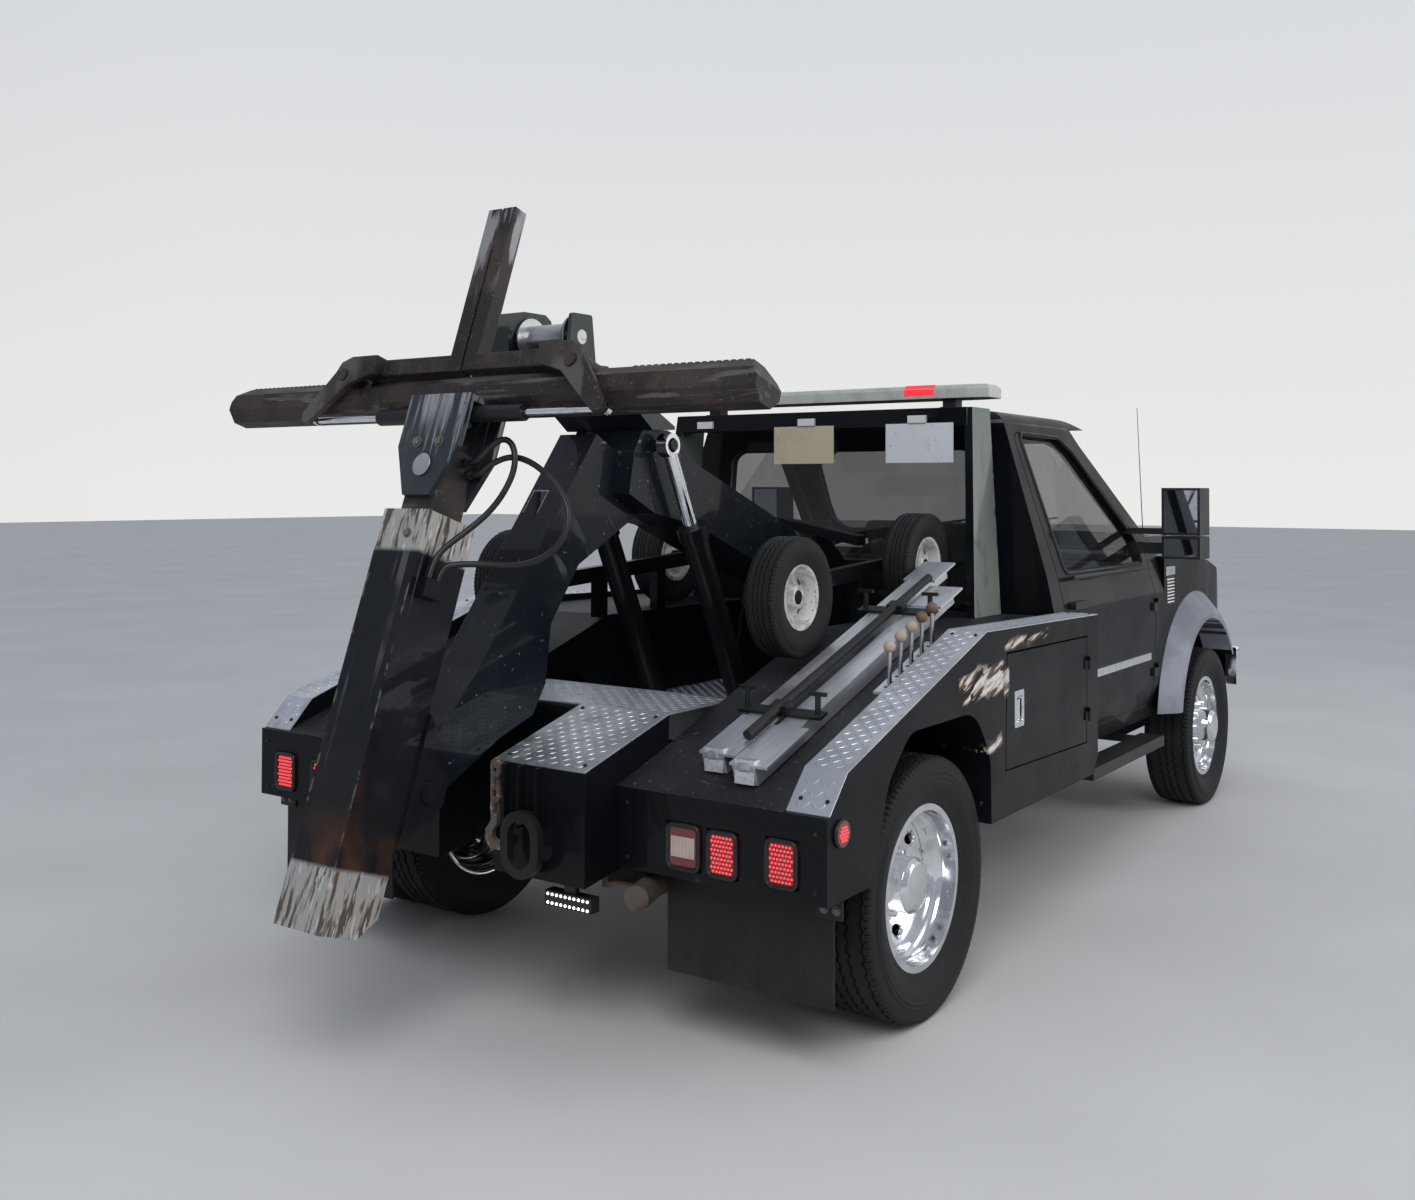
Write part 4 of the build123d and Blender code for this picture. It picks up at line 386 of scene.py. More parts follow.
def rack_side_painted_reflection():
    """The rack legs' broad sides: a painted sky reflection in pale grey-green, darker at the top and along
    the front edge.
    """
    # The pale grey-green colour is a painted sky reflection on the legs' side faces.
    f = Finish("rack_side_painted_reflection", (0.19, 0.225, 0.205), 0.30, 0.3, Coat_Weight=0.5, Coat_Roughness=0.06)
    height = f.along((0, 0, 1))
    # Painted reflection: darker towards the top and paler lower down.
    f.coat(f.calc(f.band(height, 1.50, 2.05), 0.75), (0.075, 0.095, 0.100), 0.34)
    f.coat(f.calc(f.band(height, 1.62, 1.12), 0.8), (0.42, 0.46, 0.39), 0.28)
    f.coat(f.calc(f.band(f.noise(10.0, 7.0, (1.0, 1.0, 0.5), distortion=0.5), 0.50, 0.66), 0.6),
           (0.10, 0.125, 0.12), 0.5)
    # The darker front edge is part of the painted reflection.
    ragged = f.calc(f.calc(f.noise(14.0, 7.0), 0.5, "SUBTRACT"), 0.10)
    edge = f.band(f.calc(f.along((1, 0, 0), (1440, 0, 0)), ragged, "ADD"), 0.0, 0.012)
    f.coat(f.calc(edge, f.band(f.noise(40.0, 6.0), 0.45, 0.55)), (0.020, 0.024, 0.026), 0.5)
    f.dent(f.noise(40.0, 4.0), 0.3)
    return f.done()


def polished(name="polished_rim", colour=(0.80, 0.81, 0.83), roughness=0.09):
    """Polished metal with dull clouds and specks of dirt."""
    f = Finish(name, colour, roughness, 1.0)
    f.coat(f.band(f.noise(14.0, 6.0), 0.46, 0.70), (0.62, 0.62, 0.63), roughness + 0.16)
    dirt = f.calc(f.band(f.noise(38.0, 5.0), 0.62, 0.70), 0.45)
    f.coat(dirt, (0.12, 0.10, 0.08), 0.7, 0.2)
    f.dent(f.noise(320.0, 2.0), 0.03)
    return f.done()


def chrome():
    """Chrome plate, dull in places."""
    f = Finish("chrome_plate", (0.86, 0.87, 0.89), 0.09, 1.0)
    f.coat(f.calc(f.band(f.noise(30.0, 5.0), 0.50, 0.68), 0.6), (0.55, 0.55, 0.55), 0.25)
    return f.done()


def plain_steel(name, colour=(0.020, 0.020, 0.022), roughness=0.55, metallic=0.3, rust=0.5):
    """Dark steel under the truck: paint, road dirt and rust bloom."""
    f = Finish(name, colour, roughness, metallic)
    f.coat(f.calc(f.band(f.noise(12.0, 7.0), 0.54, 0.68), rust), (0.065, 0.036, 0.022), 0.85, 0.0)
    dusty(f, amount=0.5)
    road_dirt(f, 800)
    f.dent(f.noise(80.0, 4.0), 0.5)
    return f.done()


def rusty_chain():
    """Chain links: rust bloom and pale rubbed places."""
    f = Finish("chain_steel", (0.15, 0.14, 0.135), 0.5, 0.5)
    f.coat(f.band(f.noise(24.0, 6.0), 0.42, 0.58), (0.13, 0.085, 0.062), 0.75, 0.1)
    f.coat(f.band(f.noise(60.0, 4.0), 0.58, 0.66), (0.40, 0.39, 0.38), 0.40, 0.7)
    f.dent(f.noise(120.0, 4.0), 0.6)
    return f.done()


def tyre_rubber():
    """Tyre rubber, greyed by road dust."""
    f = Finish("tyre_rubber", (0.0115, 0.0120, 0.0130), 0.66, Specular_IOR_Level=0.3)
    f.coat(f.calc(f.band(f.noise(6.0, 6.0), 0.42, 0.68), 0.6), (0.022, 0.022, 0.022), 0.80)
    f.coat(f.calc(f.band(f.noise(45.0, 4.0), 0.58, 0.68), 0.35), (0.045, 0.043, 0.040), 0.9)
    f.dent(f.noise(150.0, 3.0), 0.25)
    return f.done()


def rubber(name, colour, roughness):
    """Plain rubber with a grey bloom."""
    f = Finish(name, colour, roughness)
    f.coat(f.calc(f.band(f.noise(8.0, 6.0), 0.48, 0.66), 0.4), (0.026, 0.025, 0.024), 0.8)
    f.dent(f.noise(110.0, 3.0), 0.25)
    return f.done()


def flap_rubber():
    """Mud flap: flat rubber with run-down dirt."""
    f = Finish("flap_rubber", (0.0125, 0.0130, 0.0140), 0.55, Specular_IOR_Level=0.3)
    runs = f.noise(16.0, 5.0, (1.0, 1.0, 0.12))
    f.coat(f.calc(f.band(runs, 0.46, 0.66), 0.5), (0.024, 0.024, 0.024), 0.8)
    low = f.band(f.along((0, 0, 1)), 420 * MM, 215 * MM)
    f.coat(f.calc(f.calc(low, f.band(f.noise(7.0, 6.0), 0.40, 0.66)), 0.6), (0.040, 0.038, 0.035), 0.85)
    f.dent(f.noise(70.0, 3.0), 0.4)
    return f.done()


def moulded(name, colour, roughness=0.5, fade=(0.16, 0.165, 0.17), amount=0.4):
    """Grained plastic with a chalky fade."""
    f = Finish(name, colour, roughness)
    f.coat(f.calc(f.band(f.noise(5.0, 6.0), 0.42, 0.66), amount), fade, min(1.0, roughness + 0.2))
    f.dent(f.cells(900.0), 0.10)
    return f.done()


def white_enamel():
    """Chipped white paint of the small rims."""
    f = Finish("white_enamel", (0.66, 0.66, 0.64), 0.35, Coat_Weight=0.3)
    f.coat(f.calc(f.band(f.noise(22.0, 6.0), 0.50, 0.62), 0.6), (0.30, 0.26, 0.21), 0.7)
    f.coat(f.calc(f.band(f.noise(70.0, 5.0), 0.62, 0.68), 0.8), (0.12, 0.07, 0.045), 0.85)
    return f.done()


def blank_plate(name, colour):
    """A painted sheet plate, stained and chipped, with nothing on it."""
    f = Finish(name, colour, 0.38)
    f.coat(f.calc(f.band(f.noise(9.0, 6.0), 0.46, 0.66), 0.35), tuple(v * 0.75 for v in colour), 0.55)
    f.coat(f.calc(f.band(f.noise(60.0, 5.0), 0.64, 0.70), 0.6), (0.22, 0.17, 0.12), 0.7)
    f.dent(f.noise(20.0, 2.0), 0.3)
    return f.done()


def lens(name, colour, glow=0.0, ribs=0.0):
    """A lamp's plastic lens, lit or ribbed where wanted."""
    f = Finish(name, colour, 0.12, Coat_Weight=0.8, Coat_Roughness=0.03)
    if glow:
        f.shader.inputs["Emission Color"].default_value = (*colour, 1)
        f.shader.inputs["Emission Strength"].default_value = glow
    f.coat(f.calc(f.band(f.noise(14.0, 5.0), 0.50, 0.68), 0.35), tuple(v * 0.55 for v in colour), 0.35)
    if ribs:
        wave = f.put("TexWave", {"Vector": f.where, "Scale": ribs}, bands_direction="Y").outputs[1]
        f.dent(wave, 1.2)
    return f.done()


def window_glass():
    """Tinted window glass with a dusty film."""
    f = Finish("window_glass", (0.015, 0.020, 0.022), 0.02, Alpha=0.42, Coat_Weight=0.5)
    film = f.calc(f.band(f.noise(5.0, 6.0), 0.48, 0.70), 0.25)
    f.coat(film, (0.09, 0.09, 0.085), 0.2)
    return f.done()


def winch_green():
    """The winch's dark green cast housing, chipped and browned."""
    f = Finish("winch_green", (0.026, 0.034, 0.031), 0.42, 0.1, Coat_Weight=0.15)
    f.coat(f.band(f.noise(7.0, 6.0), 0.45, 0.62), (0.044, 0.054, 0.050), 0.55)
    f.coat(f.calc(f.band(f.noise(40.0, 5.0), 0.60, 0.68), 0.5), (0.070, 0.050, 0.036), 0.8)
    f.dent(f.noise(90.0, 4.0), 0.7)
    return f.done()


def seat_cloth():
    """Woven grey seat cloth, worn paler on top."""
    f = Finish("seat_cloth", (0.105, 0.108, 0.115), 0.85, Sheen_Weight=0.25)
    warp = f.put("TexWave", {"Vector": f.where, "Scale": 160.0}, bands_direction="Y").outputs[1]
    weft = f.put("TexWave", {"Vector": f.where, "Scale": 160.0}, bands_direction="X").outputs[1]
    weave = f.calc(warp, weft, "MAXIMUM")
    f.coat(f.calc(weave, 0.35), (0.16, 0.163, 0.17), 0.9)
    f.coat(f.calc(f.band(f.noise(5.0, 5.0), 0.45, 0.65), 0.4), (0.14, 0.138, 0.135), 0.9)
    f.dent(weave, 0.35)
    return f.done()


# Making pieces


def finished(name, mesh, body, slot, *materials, bevel=0.0, smooth=34.0):
    """A piece from a mesh in the frame's metres, shaded smooth under an angle, riding on its body."""
    obj = bpy.data.objects.new(name, mesh)
    bpy.context.scene.collection.objects.link(obj)
    if materials:
        mesh.materials.clear()
        for material in materials:
            mesh.materials.append(material)
    mesh.shade_smooth()
    mesh.set_sharp_from_angle(angle=math.radians(smooth))
    if bevel:
        edges = obj.modifiers.new("edges", "BEVEL")
        edges.limit_method = "ANGLE"
        edges.width = bevel * MM
        edges.segments = 2
    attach(obj, body)
    return obj


def from_bmesh(name, bm, tidy_normals=True):
    """A mesh from a bmesh, its faces turned outwards where that is still to do."""
    if tidy_normals:
        bmesh.ops.recalc_face_normals(bm, faces=bm.faces)
    mesh = bpy.data.meshes.new(name)
    bm.to_mesh(mesh)
    bm.free()
    return mesh


def add_box(bm, low, high, turn=None, about=None):
    """A block given by two corners of the drawing, turned about a point where wanted."""
    made = bmesh.ops.create_cube(bm, size=1.0)["verts"]
    a, b = place(*low), place(*high)
    size = b - a
    for v in made:
        v.co = (a + b) / 2 + Vector(v.co[i] * abs(size[i]) for i in range(3))
        if turn:
            v.co = about + turn @ (v.co - about)
    return made


def add_rod(bm, start, end, radius, sides=16, tip=None):
    """A round bar between two points of the frame; tip is its radius at the far end."""
    line = end - start
    made = bmesh.ops.create_cone(bm, cap_ends=True, segments=sides, radius1=radius * MM,
                                 radius2=(radius if tip is None else tip) * MM, depth=line.length)["verts"]
    turn = line.to_track_quat("Z", "Y").to_matrix().to_4x4()
    turn.translation = (start + end) / 2
    bmesh.ops.transform(bm, matrix=turn, verts=made)
    return made


def add_lathe(bm, profile, centre, axis, steps=32):
    """A closed shape turned about an axis, from (distance along the axis, radius) points in millimetres."""
    turn = Vector(axis).to_track_quat("Z", "Y").to_matrix()
    angles = [2 * math.pi * i / steps for i in range(steps)]
    rings = []
    for h, r in profile:
        ring = [(0, 0, h * MM)]
        if r > 0:
            ring = [(r * MM * math.cos(t), r * MM * math.sin(t), h * MM) for t in angles]
        rings.append([bm.verts.new(centre + turn @ Vector(point)) for point in ring])
    for lower, upper in zip(rings, rings[1:]):
        for i in range(steps):
            j = (i + 1) % steps
            if len(lower) == 1:
                bm.faces.new((lower[0], upper[i], upper[j]))
            elif len(upper) == 1:
                bm.faces.new((lower[i], lower[j], upper[0]))
            else:
                bm.faces.new((lower[i], lower[j], upper[j], upper[i]))


def bent_bar(name, points, radius, body, slot, material, cyclic=False, sides=6):
    """A round bar or seal that follows points of the frame, as a mesh."""
    curve = bpy.data.curves.new(name, "CURVE")
    curve.dimensions = "3D"
    curve.bevel_depth = radius * MM
    curve.bevel_resolution = sides // 2
    curve.use_fill_caps = True
    line = curve.splines.new("POLY")
    line.points.add(len(points) - 1)
    for point, where in zip(line.points, points):
        point.co = (*where, 1)
    line.use_cyclic_u = cyclic
    obj = bpy.data.objects.new(name + ".line", curve)
    bpy.context.scene.collection.objects.link(obj)
    mesh = settled(obj)
    bpy.data.objects.remove(obj)
    return finished(name, mesh, body, slot, material, smooth=50.0)


def settled(obj):
    """The object's mesh with its modifiers applied."""
    bpy.context.view_layer.update()
    seen = obj.evaluated_get(bpy.context.evaluated_depsgraph_get())
    return bpy.data.meshes.new_from_object(seen)


def rounded_loop(corners, radius, steps=5):
    """Points round a closed outline of the plane, its corners rounded; points are (u, v)."""
    loop = []
    for before, at, after in zip(corners[-1:] + corners[:-1], corners, corners[1:] + corners[:1]):
        at = Vector(at)
        a, b = (Vector(before) - at).normalized(), (Vector(after) - at).normalized()
        reach = radius / math.tan(a.angle(b) / 2)
        reach = min(reach, (Vector(before) - at).length / 2.2, (Vector(after) - at).length / 2.2)
        for i in range(steps + 1):
            t = i / steps
            p, q = at + a * reach * (1 - t), at + b * reach * t
            loop.append(p.lerp(q, t) if t else p)
    return loop


def repeat_tree():
    """Repeats an item on every point of a guide mesh, turned and sized by the guide's own attributes."""
    tree = bpy.data.node_groups.new("repeat_on_guide", "GeometryNodeTree")
    sockets = {}
    for name, kind in (("Guide", "NodeSocketGeometry"), ("Item", "NodeSocketObject"),
                       ("Size", "NodeSocketFloat"), ("Join Distance", "NodeSocketFloat"),
                       ("Finish", "NodeSocketMaterial")):
        sockets[name] = tree.interface.new_socket(name, in_out="INPUT", socket_type=kind).identifier
    tree.interface.new_socket("Geometry", in_out="OUTPUT", socket_type="NodeSocketGeometry")

    def node(kind, **settings):
        """A node of the tree with its settings."""
        made = tree.nodes.new(kind)
        for key, value in settings.items():
            setattr(made, key, value)
        return made

    enter, leave = node("NodeGroupInput"), node("NodeGroupOutput")
    points = node("GeometryNodeMeshToPoints")
    turn = node("GeometryNodeInputNamedAttribute", data_type="FLOAT_VECTOR")
    turn.inputs["Name"].default_value = "turn"
    size = node("GeometryNodeInputNamedAttribute", data_type="FLOAT")
    size.inputs["Name"].default_value = "size"
    grow = node("ShaderNodeMath", operation="MULTIPLY")
    item = node("GeometryNodeObjectInfo")
    to_turn = node("FunctionNodeEulerToRotation")
    put = node("GeometryNodeInstanceOnPoints")
    real = node("GeometryNodeRealizeInstances")
    merge = node("GeometryNodeMergeByDistance")
    coat = node("GeometryNodeSetMaterial")
    link = tree.links.new
    link(enter.outputs["Guide"], points.inputs["Mesh"])
    link(enter.outputs["Item"], item.inputs["Object"])
    link(points.outputs[0], put.inputs["Points"])
    link(item.outputs["Geometry"], put.inputs["Instance"])
    link(turn.outputs["Attribute"], to_turn.inputs[0])
    link(to_turn.outputs[0], put.inputs["Rotation"])
    link(size.outputs["Attribute"], grow.inputs[0])
    link(enter.outputs["Size"], grow.inputs[1])
    link(grow.outputs[0], put.inputs["Scale"])
    link(put.outputs[0], real.inputs[0])
    link(real.outputs[0], merge.inputs["Geometry"])
    link(enter.outputs["Join Distance"], merge.inputs["Distance"])
    link(merge.outputs[0], coat.inputs["Geometry"])
    link(enter.outputs["Finish"], coat.inputs["Material"])
    link(coat.outputs[0], leave.inputs[0])
    return tree, sockets


REPEAT = repeat_tree()


def repeated(name, item, marks, body, slot, material, join=0.0, smooth=34.0):
    """The item on every mark (point, turn as an Euler, size), made real as one mesh."""
    tree, sockets = REPEAT
    guide = bpy.data.meshes.new(name + ".guide")
    guide.from_pydata([mark[0] for mark in marks], [], [])
    turns = guide.attributes.new("turn", "FLOAT_VECTOR", "POINT")
    turns.data.foreach_set("vector", [v for mark in marks for v in mark[1]])
    sizes = guide.attributes.new("size", "FLOAT", "POINT")
    sizes.data.foreach_set("value", [mark[2] for mark in marks])
    obj = bpy.data.objects.new(name + ".marks", guide)
    pattern = bpy.data.objects.new(name + ".item", item)
    for made in (obj, pattern):
        bpy.context.scene.collection.objects.link(made)
    modifier = obj.modifiers.new("repeat", "NODES")
    modifier.node_group = tree
    modifier[sockets["Item"]] = pattern
    modifier[sockets["Size"]] = 1.0
    modifier[sockets["Join Distance"]] = join
    modifier[sockets["Finish"]] = material
    mesh = settled(obj)
    for made in (obj, pattern):
        bpy.data.objects.remove(made)
    return finished(name, mesh, body, slot, material, smooth=smooth)


def facing_turn(normal, spin=0.0):
    """The Euler turn that points an item's +Z along the normal, after a spin about its own axis."""
    turn = Vector(normal).to_track_quat("Z", "Y").to_matrix() @ Matrix.Rotation(spin, 3, "Z")
    return tuple(turn.to_euler())


# Wheels

# A tyre's side: shares of its half width, and of the way from its bead to its crown.
TYRE_SIDE = [(0.66, -0.06), (0.715, 0.03), (0.76, 0.075), (0.79, 0.12), (0.795, 0.15), (0.82, 0.19),
             (0.88, 0.28), (0.935, 0.37), (0.97, 0.45), (0.985, 0.52), (0.985, 0.57), (0.998, 0.585),
             (0.998, 0.60), (0.983, 0.615), (0.980, 0.66), (0.992, 0.675), (0.990, 0.69), (0.970, 0.705),
             (0.955, 0.76), (0.945, 0.81), (0.935, 0.87)]
# Where the grooves run, in shares of the half width.
TYRE_GROOVES = (0.72, 0.30)
# Tread blocks round a tyre, and the radius past which a wheel node's faces are tyre.
ROAD_PITCHES = 60
DOLLY_PITCHES = 44
ROAD_RIM_EDGE = 263.5
DOLLY_RIM_EDGE = 112.5
# Distances, in metres, under which points are joined into one.
SLICE_JOIN = 0.00003
WELD = 0.00002


def tyre_slice(half, bead, radius, pitches, depth):
    """One pitch of a tyre's tread and walls, about the Y axis, with zigzag grooves and notched shoulders."""
    height = radius - bead
    side = [(w * half, bead + h * height, 0.0, 0.0) for w, h in TYRE_SIDE]
    for wide, drop in ((0.905, 0.062), (0.865, 0.030), (0.80, 0.016)):
        side.append((half * wide, radius - height * drop, 0.0, 1.0))
    for groove in TYRE_GROOVES:
        crown = radius - height * 0.012 * groove
        gap = half * 0.045
        side += [(groove * half + gap, crown, 1.0, 0.0), (groove * half + gap * 0.7, crown - depth, 1.0, 0.0),
                 (groove * half - gap * 0.7, crown - depth, 1.0, 0.0), (groove * half - gap, crown, 1.0, 0.0)]
    side += [(half * 0.04, radius, 1.0, 0.0), (half * 0.03, radius - depth, 1.0, 0.0)]
    profile = side + [(-y, r, zigzag, notch) for y, r, zigzag, notch in reversed(side)]
    stops = (0.0, 0.10, 0.42, 0.50, 0.60, 0.92, 1.0)
    mesh = bpy.data.meshes.new("tyre_slice")
    points, faces = [], []
    for stop in stops:
        turn = 2 * math.pi / pitches * stop
        sway = half * 0.028 * (1 if 0.05 < stop < 0.45 else -1 if 0.55 < stop < 0.95 else 0)
        cut = depth * 0.8 if stop in (0.0, 0.50, 1.0) else 0.0
        for y, r, zigzag, notch in profile:
            y += sway * zigzag
            r -= cut * notch
            points.append((r * MM * math.cos(turn), y * MM, r * MM * math.sin(turn)))
    count = len(profile)
    for k in range(len(stops) - 1):
        for i in range(count - 1):
            a = k * count + i
            faces.append((a, a + 1, a + 1 + count, a + count))
    mesh.from_pydata(points, [], faces)
    return mesh


def fit_tyre(name, tread, centre, pitches, body, finish):
    """Slices turned round the axle, joined into one closed tyre with its faces outwards."""
    marks = [(centre, (0, -2 * math.pi * i / pitches, 0), 1.0) for i in range(pitches)]
    tyre = repeated(name, tread, marks, body, "tyre_black", finish, SLICE_JOIN)
    bm = bmesh.new()
    bm.from_mesh(tyre.data)
    bmesh.ops.remove_doubles(bm, verts=bm.verts, dist=WELD)
    bmesh.ops.recalc_face_normals(bm, faces=bm.faces)
    bm.to_mesh(tyre.data)
    bm.free()


def rim_copy(node, name, centre, radius, body, *materials, rule):
    """The rim and hub of a wheel node: a merged copy without the tyre's faces; the rule picks the hub's."""
    bm = bmesh.new()
    bm.from_mesh(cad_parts[node].data)
    bmesh.ops.remove_doubles(bm, verts=bm.verts, dist=WELD)

    def reach(point):
        """How far a point lies from the wheel's axle, in millimetres."""
        return math.hypot(point.x - centre.x, point.z - centre.z) / MM

    tyre = [f for f in bm.faces if max(reach(v.co) for v in f.verts) > radius]
    bmesh.ops.delete(bm, geom=tyre, context="FACES")
    for face in bm.faces:
        middle = face.calc_center_median()
        face.material_index = rule(reach(middle), abs(middle.y) / MM)
    mesh = from_bmesh(name, bm, tidy_normals=False)
    rim = finished(name, mesh, body, "chrome", *materials, smooth=40.0)
    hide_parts(node)


def fit_wheels():
    """Tyres with their tread, and the rims and hubs inside them."""
    tyre = tyre_rubber()
    rim = polished()
    shiny = bpy.data.materials["chrome_plate"]
    dark = bpy.data.materials["dark_steel"]
    enamel = white_enamel()
    road = tyre_slice(119.0, 249.0, 409.6, ROAD_PITCHES, 9.0)
    small = tyre_slice(59.0, 102.0, 206.6, DOLLY_PITCHES, 5.0)
    for side, name in SIDES:
        body = "wheel_front_" + name
        centre = place(FRONT_AXLE_X, side * 962, WHEEL_Z)
        fit_tyre("front_tyre_" + name, road, centre, ROAD_PITCHES, body, tyre)
        rim_copy("front_wheel_" + name, "front_rim_" + name, centre, ROAD_RIM_EDGE, body, rim, shiny,
                 rule=lambda r, y: 1 if r < 131 and y > 1008 else 0)
        body = "wheels_rear_" + name
        for row, y in (("outer", 1062.0), ("inner", 807.0)):
            centre = place(0, side * y, WHEEL_Z)
            fit_tyre(f"rear_tyre_{row}_{name}", road, centre, ROAD_PITCHES, body, tyre)
        rim_copy("rear_wheels_" + name, "rear_rims_" + name, centre, ROAD_RIM_EDGE, body, rim, shiny,
                 rule=lambda r, y: 1 if r < 131 and y > 1004 else 0)
        for spot, x, z in (("rear", 60, 1290), ("front", 1035, 1357)):
            body = f"dolly_{spot}_{name}"
            centre = place(x, side * 620, z)
            fit_tyre(f"dolly_tyre_{spot}_{name}", small, centre, DOLLY_PITCHES, body, tyre)
            rim_copy(f"dolly_wheel_{spot}_{name}", f"dolly_rim_{spot}_{name}", centre, DOLLY_RIM_EDGE, body,
                     enamel, dark, rule=lambda r, y: 1 if r < 41 else 0)


# The CAD nodes


def soften(obj, width, angle=32.0):
    """Rounds the sharp edges of a CAD node by a few millimetres, on the live object."""
    weld = obj.modifiers.new("weld", "WELD")
    weld.merge_threshold = 0.00005
    flat = obj.modifiers.new("flat", "DECIMATE")
    flat.decimate_type = "DISSOLVE"
    flat.angle_limit = math.radians(0.8)
    bevel = obj.modifiers.new("edges", "BEVEL")
    bevel.limit_method = "ANGLE"
    bevel.angle_limit = math.radians(angle)
    bevel.width = width * MM
    bevel.segments = 2
    shade = obj.modifiers.new("shade", "WEIGHTED_NORMAL")
    shade.keep_sharp = True


def dress(name, finish, *others, round_by=0.0):
    """Gives a node its finish, and other finishes to the faces that a rule picks by centre and facing."""
    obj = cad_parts[name]
    mesh = obj.data
    mesh.materials.clear()
    mesh.materials.append(finish)
    count = len(mesh.polygons)
    centre = np.zeros(count * 3, np.float32)
    facing = np.zeros(count * 3, np.float32)
    mesh.polygons.foreach_get("center", centre)
    mesh.polygons.foreach_get("normal", facing)
    centre = centre.reshape(-1, 3) / MM
    centre[:, 0] -= AXLE_X / MM
    n = facing.reshape(-1, 3)
    index = np.zeros(count, np.int32)
    for number, (other, rule) in enumerate(others, 1):
        mesh.materials.append(other)
        index[rule(*centre.T, n)] = number
    mesh.polygons.foreach_set("material_index", index)
    if round_by:
        soften(obj, round_by)


def tube_s(x, z):
    """How far up the folded lift tube each centre lies."""
    return (x - FOOT.x) * UP_TUBE.x + (z - FOOT.z) * UP_TUBE.z


def over_slope(x, z):
    """How high each centre lies over the side box's slope."""
    return z - SLOPE_FOOT_Z - SLOPE_RISE * (x - BODY_REAR_X)


